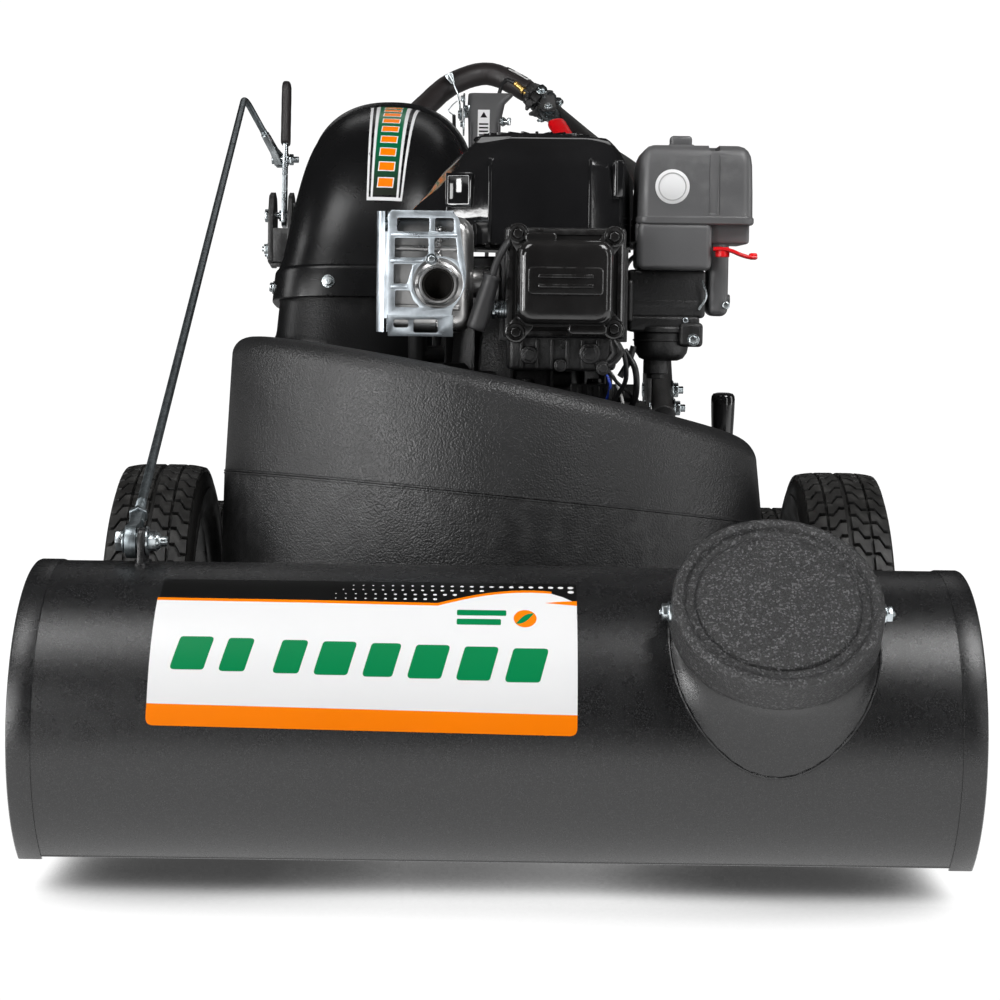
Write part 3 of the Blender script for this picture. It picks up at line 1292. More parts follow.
def rocker_cover():
    """Flange with ears, a bead and a raised lid with a plain embossed panel."""
    x0, z0, panel_z = 55, 480, 481.5
    # (half width, half height, corner radius, y)
    stations = [(49.5, 45.5, 13, 213.0), (51, 47, 14, 212.0), (51, 47, 14, 207.4),
                (49.6, 45.6, 13, 206), (46.4, 42.4, 12.4, 206), (45.6, 41.6, 12, 207.4),
                (43.6, 38.9, 12.4, 207.6), (43, 38.2, 12.2, 206), (42.6, 37.8, 12, 196),
                (41.8, 37, 12, 188), (40.6, 35.8, 11.6, 184.0), (38.2, 33.6, 11, 181.2),
                (35, 30.8, 10, 180.1), (30, 26, 8, 179.8)]
    lid = loft([ring_y(x0, y, z0, half_x, half_z, r) for half_x, half_z, r, y in stations])
    ears, bolts = [], []
    # (bolt x, bolt z, x and z where the ear meets the flange)
    for x, z, root_x, root_z in ((13, 523, 20, 512), (98, 521, 90, 510), (12, 436, 20, 446),
                                 (99, 440, 90, 450)):
        ears.append(cyl((x, 213.2, z), (x, 205.4, z), 9.6, sides=40, chamfer=1.3))
        arm = Vec((x - root_x, 0, z - root_z))
        way = arm.normalized()
        ears.append(turned_box(Vec((root_x, 209.4, root_z)) + arm * 0.5, way, BACK,
                               (-way.z, 0, way.x), arm.length * 0.62, 3.8, 9.4, 1.2))
        ears.append(tube((x, 205.6, z), (x, 203.2, z), 7.4, 4.6, 32, 0.5))
        bolts += [hexagon((x, 205.2, z), FRONT, 4.7, 4.6, 0.6, turn=0.4 + x),
                  cyl((x, 205.8, z), (x, 204.6, z), 6.4, sides=28, chamfer=0.3)]
    # pads that make the wave in the lid's lower and upper edges
    pads = [loft([ring_y(x0 + 20, y, z0 - 40.5, 17, 5, 4.4, 5) for y in (206.5, 190)]),
            loft([ring_y(x0 - 22, y, z0 + 39.5, 14, 4.5, 4, 5) for y in (206.5, 194)])]
    pads = [bevel(pad, 1.6, 3, 40) for pad in pads]
    panel = loft([ring_y(x0, 180.2, panel_z, 33, 12.5, 4, 6),
                  ring_y(x0, 178.9, panel_z, 32, 11.5, 3.6, 6),
                  ring_y(x0, 178.7, panel_z, 31, 10.5, 3.2, 6)])
    bars = [block((x0, 178.6, panel_z + rise), 24, 0.8, 1.6, 0.7, 3) for rise in (-4.2, 4.2)]
    piece("rocker_cover_pressing", join(lid, *ears, *pads, panel, *bars), "rocker_gloss",
          "rocker_cover", smooth=36)
    piece("rocker_cover_bolts", join(*bolts), "rocker_gloss", smooth=34)


# plan of the blower shroud in (x, y), and the rounding of each corner
SHROUD_PLAN = round_corners(
    [(-13, 245), (78, 245), (107, 257), (116, 292), (119, 366), (126, 396), (117, 446),
     (82, 488), (40, 502), (2, 500), (-30, 472), (-56, 444), (-84, 420), (-90, 380),
     (-87, 312), (-52, 265)],
    [3, 3, 10, 16, 14, 14, 18, 18, 14, 16, 12, 12, 14, 12, 14, 6], 4)
# (z, scale of the plan, shift in x)
SHROUD_LEVELS = [
    (514, 1.0, 0), (514.6, 1.004, 0), (520, 1.003, 0), (545, 0.998, 0), (565, 0.992, 0),
    (582, 0.981, 0.6), (588.5, 0.970, 1.2), (592.5, 0.955, 2), (600, 0.905, 5),
    (606, 0.85, 8), (610, 0.80, 10), (612.8, 0.74, 12), (613.8, 0.66, 13), (614.2, 0.5, 14)]


def shroud_ring(level, scale, shift):
    """Scaled plan, sloping down on the left and right sides near the top."""
    ring = []
    for plan_x, plan_y in SHROUD_PLAN:
        x = 18 + (plan_x - 18) * scale + shift
        y = 372 + (plan_y - 372) * scale
        left_drop = max(0.0, -22 - x) * 0.80 * max(0.0, min(1.0, (level - 540) / 60))
        right_drop = max(0.0, x - 92) * 0.55 * max(0.0, min(1.0, (level - 560) / 45))
        ring.append((x, y, level - left_drop - right_drop))
    return ring


def blower_shroud():
    outer = [shroud_ring(*level) for level in SHROUD_LEVELS]
    inner = [shroud_ring(z - 3.2, scale - 0.028, shift)
             for z, scale, shift in SHROUD_LEVELS[:0:-1]]
    shell = loft([*outer, *inner, shroud_ring(514, 0.972, 0)], cap=False, loop=True)
    roof = loft([shroud_ring(z, scale, 14)
                 for z, scale in ((614.2, 0.502), (614.6, 0.35), (614.7, 0.05))])
    parts = [shell, roof]
    # styling ribs on the front face
    for x in (-12.6, 77.6):
        # (half width behind, half width in front, y and z behind, y and z in front)
        stations = ((2.0, 1.3, 247, 516, 243.4, 516), (2.0, 1.3, 248, 560, 244.2, 560),
                    (1.9, 1.2, 252, 592, 247.6, 591))
        rib = loft([[(x - wide, y0, z0), (x + wide, y0, z0), (x + slim, y1, z1),
                     (x - slim, y1, z1)] for wide, slim, y0, z0, y1, z1 in stations])
        parts.append(bevel(rib, 0.5))
    # boss at the lower left and raised pad at the upper right
    parts.append(lathe([(0, 512), (9.5, 512), (11, 513.4), (11, 528), (10, 532.5),
                        (6.5, 536), (0, 537.2)], (-32, 258, 0), UP, 40))
    parts.append(turned_box((103.5, 254.8, 574), (0.78, 0.62, 0), (-0.62, 0.78, 0), UP,
                            6.2, 3.2, 17, 2.6, 4))
    # recess frame on the left facet
    along, normal = Vec((0.889, -0.456, 0)), Vec((-0.456, -0.889, 0))
    centre = Vec((-40, 260.6, 563)) + normal * 1.6
    parts.append(cut(turned_box(centre, along, normal, UP, 13.5, 1.6, 15.5),
                     turned_box(centre + normal * 1.2, along, normal, UP, 10.5, 2.0, 12.5)))
    # starter housing on the roof with its cooling grille
    parts.append(lathe([(58, 613.6), (60, 616.4), (58.6, 618.4), (54, 619.6), (20, 621.2),
                        (0, 621.4)], (30, 384, 0), UP, 72))
    parts += spokes(30, 384, 620.6, 41, 24, (11, 1.5, 1.0), 0.5, 1)
    piece("blower_cover", join(*parts), "gloss_cover", "blower_shroud",
          smooth=24)


OUTLET_X, OUTLET_Z = -57, 477


def muffler():
    """Two pressed halves with a seam, an outlet pipe and a body behind."""
    # (y, inset of the outline)
    stations = [(244, 10), (243, 5), (240, 1.2), (236, 0), (230, -0.2), (228, -1.6),
                (226.5, -1.6), (224.5, -0.2), (214, 0.4), (209, 2), (206, 4.6), (204.4, 8),
                (203.8, 12)]
    can = loft([ring_y(-69, y, 486, 41 - inset, 50 - inset, 14 - min(inset, 8))
                for y, inset in stations])
    can = cut(can, cyl((OUTLET_X, 232, OUTLET_Z), (OUTLET_X, 190, OUTLET_Z), 15.2, sides=60))
    ribs = []
    for z in (509, 457):
        rings = [[(x0, y, z - half), (x0, y, z + half), (x1, y, z + half), (x1, y, z - half)]
                 for x0, x1, y, half in ((-100, -36, 205.2, 3.4), (-96, -40, 201.6, 1.6))]
        ribs.append(bevel(loft(rings), 1.2, 3))
    pipe = lathe([(14.0, 0), (14.0, 27.4), (14.4, 28.4), (15.9, 28.4), (16.5, 27.6),
                  (16.5, 21), (17.8, 17), (21.5, 14.6), (21.5, 0)],
                 (OUTLET_X, 219, OUTLET_Z), FRONT, 72, close=True)
    inlet = [cyl((-30, 250, 480), (-3, 250, 480), 14, sides=36, chamfer=1),
             block((-6, 250, 480), 3.2, 23, 17, 2)]
    # seam beads above and below the pipe: (y, z, points, sway, radius, swing)
    seams = []
    for y, z, count, sway, radius, swing in ((203.4, 496, 34, 0.7, 2.1, 0.7),
                                             (203.0, 440, 16, 0.5, 1.8, 0.5)):
        path = [(OUTLET_X + sway * math.sin(k * 1.3), y, z + k) for k in range(count)]
        seams.append(sweep(path, bead_radii(count, radius, swing, 2.2), 12))
    bore = lathe([(13.9, 0), (13.9, 22.5), (13.2, 23.5), (12.6, 22.5), (12.6, 1.5), (0, 1.5),
                  (0, 0)], (OUTLET_X, 215.4, OUTLET_Z), FRONT, 60)
    piece("outlet_bore", bore, "pipe_soot", smooth=40)
    piece("muffler_can", join(can, *ribs, box(-108, -32, 238, 290, 438, 511, 8, 4), pipe,
                              *inlet, *seams), "muffler_skin", "muffler",
          smooth=34)


# outlines on the guard's front face in (x, z)
GUARD_FACE = round_corners(
    [(-101.5, 449.5), (-45, 449.5), (-44, 456), (-38, 464.5), (-33.6, 474), (-32.2, 487),
     (-35, 506), (-37.5, 520.6), (-38.6, 534.4), (-44.4, 540.6), (-99, 541.4), (-101.5, 538)],
    [1, 1, 2, 10, 14, 16, 20, 10, 8, 8, 4, 3], 6)
# (corners, rounding)
GUARD_WINDOWS = [
    ([(-93.6, 523.2), (-65, 523.2), (-65, 535.2), (-93.6, 535.2)], 2.2),
    ([(-60.4, 523.4), (-43.4, 523.4), (-43.4, 535.4), (-60.4, 535.4)], 2.6),
    ([(-95.5, 500.4), (-69.6, 500.6), (-65.6, 503.4), (-65.6, 517.6), (-95.5, 517.6)], 2.0),
    ([(-60.6, 502.8), (-50, 501.6), (-42.6, 499.4), (-39.6, 497.6), (-41.6, 518),
      (-60.6, 518)], [2, 2, 2, 1.2, 2, 2]),
    ([(-96.3, 477.4), (-84.2, 477.5), (-78.9, 494.8), (-96.3, 494.8)], 2.0),
    ([(-94.8, 456.8), (-72.4, 456.8), (-78.6, 463.0), (-81.6, 471.7), (-94.8, 471.7)],
     [2, 1, 4, 2, 2])]


def muffler_guard():
    """Windowed face, rolled left edge with a side plate, and a turned lower flange."""
    windows = [prism(round_corners(outline, radius), along_y, 190, 200)
               for outline, radius in GUARD_WINDOWS]
    face = cut(prism(GUARD_FACE, along_y, 195.0, 196.6), *windows,
               cyl((OUTLET_X, 200, 478.5), (OUTLET_X, 190, 478.5), 22.2, sides=72))
    # ridges pressed between the window rows
    ridges = [sweep([(x0, 195.6, z), (x1, 195.6, z)], 1.5, 14, rounding=1)
              for z, x0, x1 in ((520.3, -99, -40), (497.4, -99, -70), (474.6, -99, -84))]

    def bend(radius):
        return [(-101.4 - radius * math.sin(PI / 2 * k / 10),
                 205.2 - radius * math.cos(PI / 2 * k / 10)) for k in range(11)]
    outline = bend(10.2) + [(-111.6, 284), (-110, 284)] + bend(8.6)[::-1]
    side = cut(loft([[(x, y, z) for x, y in outline] for z in (435.0, 540.8)]),
               box(-120, -105, 214, 262, 452, 474, 3), box(-120, -105, 214, 262, 492, 520, 3),
               box(-104.0, -101.6, 190, 207, 523, 545, 0),
               box(-104.4, -101.8, 190, 207, 430, 447, 0))
    # lower flange leans back under the muffler, with two notches: (z top, z bottom, x0, x1)
    notches = [bevel(prism([(190, high), (212, high), (212, low), (190, low)], along_x, x0, x1),
                     1.6, 3, 40)
               for high, low, x0, x1 in ((446.0, 439.0, -96, -83), (446.4, 434.6, -78.4, -57))]
    flange = cut(prism([(195.0, 450.4), (196.6, 450.6), (205.2, 432.0), (203.8, 431.2)],
                       along_x, -101.2, -43.6), *notches)
    sheets = [bevel(sheet, 0.35, 2, 50) for sheet in (face, side, flange)]
    top = box(-99, -44, 195.0, 232, 540.2, 541.8, 0.7, 2)
    piece("muffler_guard_pressing", join(*sheets, top, *ridges), "galvanised",
          "muffler_guard", smooth=34)
    screws = join(bolt((-104.5, 203, 529), (-0.6, -0.8, 0), 4.6, 3.4, washer_r=6.6, thick=1.0),
                  bolt((-63, 195.2, 499.2), FRONT, 3.6, 2.8, washer_r=5.2, thick=0.8))
    piece("guard_screws", screws, "zinc_plate", smooth=34)


def spark_plug():
    boot = lathe([(0, 0), (7.4, 0), (8.6, 1.2), (8.8, 6), (8.4, 22), (7.8, 40), (7.4, 46),
                  (7.9, 47), (7.9, 49), (7.2, 50.2), (4.6, 50.6), (0, 50.6)],
                 (-24, 206, 438), (16, -3, 51), 36)
    lead = sweep(spline([(-9.0, 203.2, 486), (-6.2, 202.4, 496), (-1.6, 202.6, 506),
                         (3.4, 206, 514), (8, 213, 519), (11, 226, 521)], 40), 3.3, 18)
    piece("plug_boot", join(boot, lead), "boot_rubber", "spark_plug_boot",
          smooth=50)
    parts = []
    for x, r in ((-4.5, 7.2), (-2.0, 8.2), (0.4, 8.2), (2.8, 7.6)):
        parts.append(lathe([(r - 2.4, -1.0), (r - 0.4, -1.0), (r, -0.5), (r, 0.5),
                            (r - 0.4, 1.0), (r - 2.4, 1.0)], (x, 214, 456), RIGHT, 36,
                           close=True))
    parts += [cyl((-9, 214, 456), (5, 214, 456), 5.4, sides=24, chamfer=0.6),
              hexagon((-9.5, 214, 456), RIGHT, 8.6, 3.2)]
    piece("spark_plug", join(*parts), "zinc_plate", smooth=34)


def air_cleaner():
    # (z, inset of the outline)
    stations = [(534.5, 4), (534.6, 1.6), (535.6, 0.4), (537, 0.0), (540.4, 0.0),
                (541.2, 0.9), (542, 1.2), (564, 1.6), (588, 2.4), (596, 3.6), (601, 6),
                (604.3, 9.6), (605.8, 14), (606.2, 20)]
    cover = loft([ring_z(173.5, 306, z, 53 - inset, 56 - inset, max(3, 11 - inset * 0.5))
                  for z, inset in stations])
    cover = cut(cover, box(184.6, 194.8, 240, 254.6, 543, 620, 2.2, 3),
                box(184.6, 194.8, 244, 300, 600.5, 620, 2.0, 3))
    knob = [box(151.5, 171.5, 286, 302, 605, 616, 3.2, 4),
            box(149.5, 173.5, 284, 304, 603.5, 608, 1.5, 3)]
    piece("filter_cover", join(cover, *knob), "satin_plastic",
          "air_cleaner_cover", smooth=30)
    base = join(box(121.4, 188.4, 250.8, 332, 493.0, 536.5, 6.0, 5),
                box(186.2, 205.4, 264, 302, 452, 524, 7, 5),
                box(120, 223, 262, 352, 517.5, 536.5, 3, 4),
                cyl((204.4, 282, 466), (208.2, 282, 466), 6, sides=28, chamfer=0.8))
    piece("filter_base", base, "satin_plastic", "air_cleaner_base",
          smooth=34)
    spot = (151.6, 251.45, 568)
    piece("filter_sticker",
          lathe([(0, 0.55), (15.2, 0.55), (15.5, 0.3), (15.5, 0), (0, 0)], spot, FRONT, 72),
          "decal_white", smooth=40)
    piece("filter_sticker_mark",
          lathe([(11.6, 0.75), (12.7, 0.75), (12.7, 0.5), (11.6, 0.5)], spot, FRONT, 72,
                close=True), "decal_grey", smooth=40)


def carburettor():
    parts = [cyl((108, 270, 463), (180, 270, 463), 12.4, sides=40, chamfer=1.2),
             box(114, 179, 256, 302, 437, 452, 3.5, 4),
             box(113, 184, 258, 298, 450, 493.5, 4, 4), box(112, 118, 250, 292, 446, 484, 3),
             lathe([(0, 411), (15, 411), (20, 413), (23.5, 418), (25.2, 426), (25.4, 436),
                    (27.4, 437.4), (27.8, 440.6), (27, 442), (0, 442)], (146, 278, 0), UP, 60),
             lathe([(25.6, 428.5), (26.6, 429.4), (25.6, 430.4)], (146, 278, 0), UP, 60,
                   close=True),
             cyl((141, 274, 399), (141, 274, 412), 11.5, sides=36, chamfer=1.4),
             hexagon((141, 274, 394.5), UP, 8.2, 5.2), box(160, 182, 252, 276, 424, 446, 4, 4),
             sweep([(120, 262, 424), (116, 262, 410), (108, 264, 396)], 3.0, 12)]
    parts += [bolt((146 + 27 * math.cos(angle), 278 + 22 * math.sin(angle), 452), UP, 3.6, 3)
              for angle in angles(4, PI / 4)]
    piece("carburettor_body", join(*parts), "cast_black", "carburettor",
          smooth=34)
    link = spline([(178, 256, 458), (184, 252, 470), (180, 251, 484)], 16)
    screws = join(bolt((173, 252, 430.5), FRONT, 4.4, 3.6, washer_r=5.6, thick=0.8),
                  bolt((203, 262.2, 462), FRONT, 3.8, 3), bolt((166, 256, 448), FRONT, 3, 2),
                  sweep(link, 1.1, 10))
    piece("carburettor_screws", screws, "zinc_plate", smooth=34)


def choke_lever():
    path = spline([(189.5, 251, 512.6), (197, 250.5, 512.8), (206, 250, 511),
                   (214, 250, 507.8), (222, 250.4, 505.6), (229, 251, 505.6)], 26)
    across = Vec(BACK)
    rings = []
    for i, point in enumerate(path):
        s = i / (len(path) - 1)
        up = tangent(path, i).cross(across) * -1
        half_width = 4.4 + 1.8 * s - 9.6 * max(0, s - 0.9)
        half_height = 1.9 if s < 0.93 else 1.5
        rings.append([point + across * (math.cos(angle) * half_width)
                      + up * (signed_power(math.sin(angle), 0.6) * half_height)
                      for angle in angles(16)])
    part = join(loft(rings),
                lathe([(0, 505.4), (5.8, 505.4), (6.4, 506), (6.4, 513), (5.8, 514.4),
                       (0, 514.6)], (198, 253, 0), UP, 36),
                box(222, 229, 246.2, 255.2, 503.4, 509.4, 1.6))
    piece("choke_tab", part, "red_vinyl", "choke_lever", body="choke", smooth=42)


def fuel_tank():
    x, y = 52, 556
    # (z, inset of the outline)
    stations = [(420, 11), (421.5, 6), (425, 2.5), (430, 0.4), (470, 0), (474, -0.2),
                (474.6, 1.2), (478.4, 1.2), (479, -0.2), (518, 0), (526, 1.4), (531, 5),
                (533.6, 10), (534.2, 18)]
    tank = loft([ring_z(x, y, z, 60 - inset, 44 - inset, 18 - inset * 0.6)
                 for z, inset in stations])
    neck = lathe([(0, 530), (24, 530), (23, 533), (20.5, 535), (20.5, 541), (0, 541)],
                 (x, y, 0), UP, 48)
    piece("tank_moulding", join(tank, neck), "dark_plastic", "fuel_tank",
          smooth=34)
    cap = lathe([(0, 541.5), (26, 541.5), (27, 542.6), (27, 545), (25.6, 546), (25, 557),
                 (23.6, 559.4), (20, 560), (14, 558.6), (0, 558.4)], (x, y, 0), UP, 64)
    grips = spokes(x, y, 551.4, 25.4, 28, (1.1, 1.4, 5.6), 0.5, 1)
    piece("tank_cap", join(cap, *grips, block((x, y, 559.6), 17, 3.4, 1.6)),
          "satin_plastic", "fuel_cap", body="filler_cap", smooth=34)


def oil_filler():
    """The filler stays; a cap with a loop handle is added on top."""
    keep_node("oil_filler", "dark_plastic", 0.8)
    loop = [(-80 + 6 * math.cos(PI * k / 10), 345, 507 + 10 * math.sin(PI * k / 10))
            for k in range(11)]
    part = join(lathe([(0, 504), (12, 504), (13, 505.6), (12, 507.6), (0, 508)],
                      (-80, 345, 0), UP, 36), sweep(loop, 1.8, 12))
    piece("dipstick", part, "dark_plastic", smooth=40)


# ------------------------------------------------------------------ handle and hand controls
# centre line of the handle tube, from the right foot over the top to the left foot
HANDLE_CURVE = spline([
    (177, 662, 341), (177, 700, 363), (182, 900, 482), (184, 1070, 583), (168, 1145, 626),
    (121, 1224, 665), (75, 1284, 707), (26, 1332, 750), (-24, 1348, 772), (-71, 1332, 757),
    (-112, 1288, 718), (-152, 1224, 672), (-184, 1145, 630), (-196, 1070, 586),
    (-190, 900, 482), (-177, 700, 363), (-177, 662, 341)], 480)
CLUTCH_PIVOT = Vec((57.5, 1262, 716))
CLUTCH_NORMAL = Vec((0, -0.5, 0.866))
ADJUSTER_START, ADJUSTER_END = Vec((12.4, 1318, 757.4)), Vec((39.2, 1313, 735.4))


def nearest(point):
    """Index of the handle curve's point nearest to a place."""
    return min(range(len(HANDLE_CURVE)),
               key=lambda i: (HANDLE_CURVE[i] - Vec(point)).length)


def flat_plate(centre, way_a, way_b, outline, start, end, rounding):
    """Plate with an outline along way_a and way_b, thick along their cross product."""
    centre, way_a, way_b = Vec(centre), unit(way_a), unit(way_b)
    normal = way_a.cross(way_b)
    return bevel(loft([[centre + way_a * a + way_b * b + normal * depth for a, b in outline]
                       for depth in (start, end)]), rounding, 2, 40)


def handle():
    piece("handle_tube", sweep(HANDLE_CURVE, 12.7, 32, rounding=1.2), "powder_coat_frame",
          "handle_hoop", smooth=40)
    parts = []
    for side in (-1, 1):
        outward = (side, 0, 0)
        for y, z in ((676, 349), (708, 367.5)):
            parts += [bolt((side * 163.0, y, z), (-side, 0, 0), 8.2, 6.0, washer_r=10.5,
                           thick=1.6),
                      hexagon((side * 189.6, y, z), outward, 8.2, 6.0),
                      washer((side * 188.2, y, z), outward, 10.6, 1.6, 0.5),
                      thread((side * 195, y, z), (side * 201, y, z), 4.4)]
    piece("handle_bolts", join(*parts), "zinc_plate", smooth=32)


def handle_patch(start, end, radius, angle0, angle1, steps, thick):
    """Label on the tube; its angle runs from the front (0) over the top (90)."""
    rings = []
    for i in range(start, end + 1):
        way = (HANDLE_CURVE[i + 1] - HANDLE_CURVE[i - 1]).normalized()
        front = Vec(FRONT)
        front = (front - way * front.dot(way)).normalized()
        over = front.cross(way)
        if over.z < 0:
            over = -over
        outer, inner = [], []
        for k in range(steps + 1):
            angle = math.radians(angle0 + (angle1 - angle0) * k / steps)
            out = front * math.cos(angle) + over * math.sin(angle)
            outer.append(HANDLE_CURVE[i] + out * (radius + thick))
            inner.append(HANDLE_CURVE[i] + out * radius)
        rings.append(outer + inner[::-1])
    return loft(rings)


def hand_sleeve():
    """Soft sleeve over the top of the hoop, with a label."""
    path = HANDLE_CURVE[nearest((31, 1329, 746)):nearest((-187, 1130, 622)) + 1]
    radii = [15.4 + 0.10 * math.sin(k * 0.9) + 0.08 * math.sin(k * 2.3)
             for k in range(len(path))]
    radii[0] = radii[-1] = 14.2
    radii[1] = radii[-2] = 15.2
    piece("hand_sleeve", sweep(path, radii, 36), "vinyl_dip", smooth=50)
    label = handle_patch(nearest((28, 1331, 748.5)), nearest((-1, 1342, 763)), 15.5,
                         52, 92, 6, 0.5)
    piece("sleeve_label", label, "decal_white", smooth=50)
    marks = [handle_patch(k, k + 3, 15.95, 62, 80, 3, 0.25)
             for k in range(nearest((25, 1332, 750)), nearest((3, 1341, 761)), 6)]
    piece("sleeve_label_marks", join(*marks), "decal_black", smooth=50)


def clutch_clamp():
    """Saddles round the tube, a bar across them, the lever bracket and the cable stop."""
    start = HANDLE_CURVE[nearest((57, 1303, 723))]
    end = HANDLE_CURVE[nearest((41, 1318, 737))]
    way = (end - start).normalized()
    middle = (start + end) * 0.5
    normal = (CLUTCH_NORMAL - way * CLUTCH_NORMAL.dot(way)).normalized()
    across = way.cross(normal)
    if across.y > 0:
        across = -across
    saddles = []
    for offset in (-17.5, 0, 17.5):
        centre = middle + way * offset
        saddles.append(tube(centre - way * 5.2, centre + way * 5.2, 16.6, 12.6, 44, 0.7))
    piece("clutch_saddles", join(*saddles), "dark_plastic",
          "clutch_clamp", smooth=40)
    bar = flat_plate(middle + normal * 14.6, way, across,
                     round_corners([(-25, -5.5), (25, -5.5), (25, 5.5), (-25, 5.5)], 3),
                     -1.4, 1.4, 0.6)
    right, down = Vec(RIGHT), Vec((0, -0.866, -0.5))
    root_a = (middle - CLUTCH_PIVOT).dot(right)
    root_b = (middle - CLUTCH_PIVOT).dot(down)
    outline = round_corners([(root_a + 1, root_b - 3), (root_a + 15, root_b - 3), (10.5, -2),
                             (9, 10), (-9, 10), (-10.5, -2)], 5)
    bracket = flat_plate(CLUTCH_PIVOT, right, down, outline, -5.4, -3.4, 0.5)
    stop = flat_plate((28.6, 1316, 744.5), (0.79, 0, -0.61), FRONT,
                      round_corners([(-5, -12), (5, -12), (5, 14), (-5, 14)], 3),
                      -1.2, 1.2, 0.4)
    piece("clutch_bracket", join(bar, bracket, stop), "dark_plastic", smooth=36)


def clutch_bolts():
    pivot, normal = CLUTCH_PIVOT, CLUTCH_NORMAL
    parts = []
    for x, z, r in ((48.9, 747, 5.6), (60.6, 737.2, 6.4), (71.6, 730.5, 5.2)):
        parts.append(bolt((x, 1298, z), (0, -0.8, 0.6), r, 4.6, washer_r=r + 2, thick=1.0,
                          turn=x))
        parts.append(cyl((x, 1298, z), (x, 1316, z - 12), r * 0.55, sides=18))
    parts += [bolt(pivot + normal * 2.6, normal, 6.2, 4.4, washer_r=8.6, thick=1.1, stem=2.6,
                   stem_r=3),
              cyl(pivot - normal * 9.5, pivot + normal * 3.2, 3.4, sides=20),
              hexagon(pivot - normal * 5.2, -normal, 6.0, 4.0),
              bolt((47.9, 1270, 703.3), normal, 3.8, 3, washer_r=5.4, thick=0.8)]
    piece("clutch_bolts", join(*parts), "zinc_plate", smooth=32)


def clamp_knobs():
    """Black three-winged knobs under the tube."""
    parts = []
    for x, z in ((32.1, 728.4), (41.6, 716.3)):
        centre = Vec((x, 1300, z))
        parts.append(lathe([(0, -6), (4.6, -6), (5.4, -5), (5.4, 4), (4.6, 5), (0, 5.4)],
                           centre, FRONT, 28))
        for k in range(3):
            angle = PI / 2 + 2 * PI * k / 3 + x
            cosine, sine = math.cos(angle), math.sin(angle)
            parts.append(sweep([centre, centre + Vec((cosine * 6, -1, sine * 6)),
                                centre + Vec((cosine * 9.6, -2, sine * 9.6))],
                               [3.4, 3.2, 2.2], 14, rounding=1.2))
        parts.append(cyl(centre, centre + Vec((6, 14, 6)), 2.6, sides=16))
    piece("clamp_knobs", join(*parts), "dark_plastic", smooth=42)


def control_cables():
    """Cable adjuster, the clutch's bare wire and the two sleeved cables."""
    start, end = ADJUSTER_START, ADJUSTER_END
    way = (end - start).normalized()
    barrel = lathe([(1.6, 0), (3.0, 0), (3.8, 0.8), (3.8, 3.0), (3.2, 3.6), (3.8, 4.2),
                    (3.8, 16), (3.0, 16.6), (1.6, 16.6)], start, way, 24, close=True)
    piece("cable_adjuster", join(barrel, hexagon(start + way * 13, way, 5.4, 4.0),
                                 thread(start + way * 15, end - way, 2.9, 1.1),
                                 hexagon(start + way * 18.6, way, 5.2, 3.0),
                                 hexagon(start + way * 25.6, way, 5.2, 3.0)),
          "brass", smooth=34)
    wire = spline([end - way * 2, end + Vec((6, -20, -6)), (52.7, 1264.5, 720.9)], 20)
    nipple = cyl((51.5, 1262, 717), (53.5, 1266, 724), 2.2, sides=14, chamfer=0.5)
    piece("clutch_wire", join(sweep(wire, 0.8, 8), nipple), "zinc_plate", smooth=40)
    clutch = spline([start, (2, 1324, 762), (-6, 1336, 752), (-12, 1330, 722),
                     (-18, 1296, 640), (-22, 1230, 520), (-24, 1120, 380), (-20, 960, 250),
                     (-10, 860, 190), (-4, 836, 160)], 160)
    throttle = spline([(-69, 1300, 712), (-68, 1312, 690), (-60, 1310, 650),
                       (-52, 1262, 560), (-20, 1100, 430), (40, 800, 380), (90, 640, 400),
                       (118, 520, 470), (122, 440, 500), (126, 372, 508)], 160)
    piece("control_cables", join(sweep(clutch, 2.7, 12, rounding=1),
                                 sweep(throttle, 2.4, 12, rounding=1)),
          "cable_sleeve", smooth=60)


def on_post(x, z, lift):
    """Point on the front of the console post."""
    y = 1243 + (z - 655) * 0.5 if z < 704 else 1267.5 + (z - 704) * 0.55
    return x, y + 0.6 - lift * 0.9, z + lift * 0.45


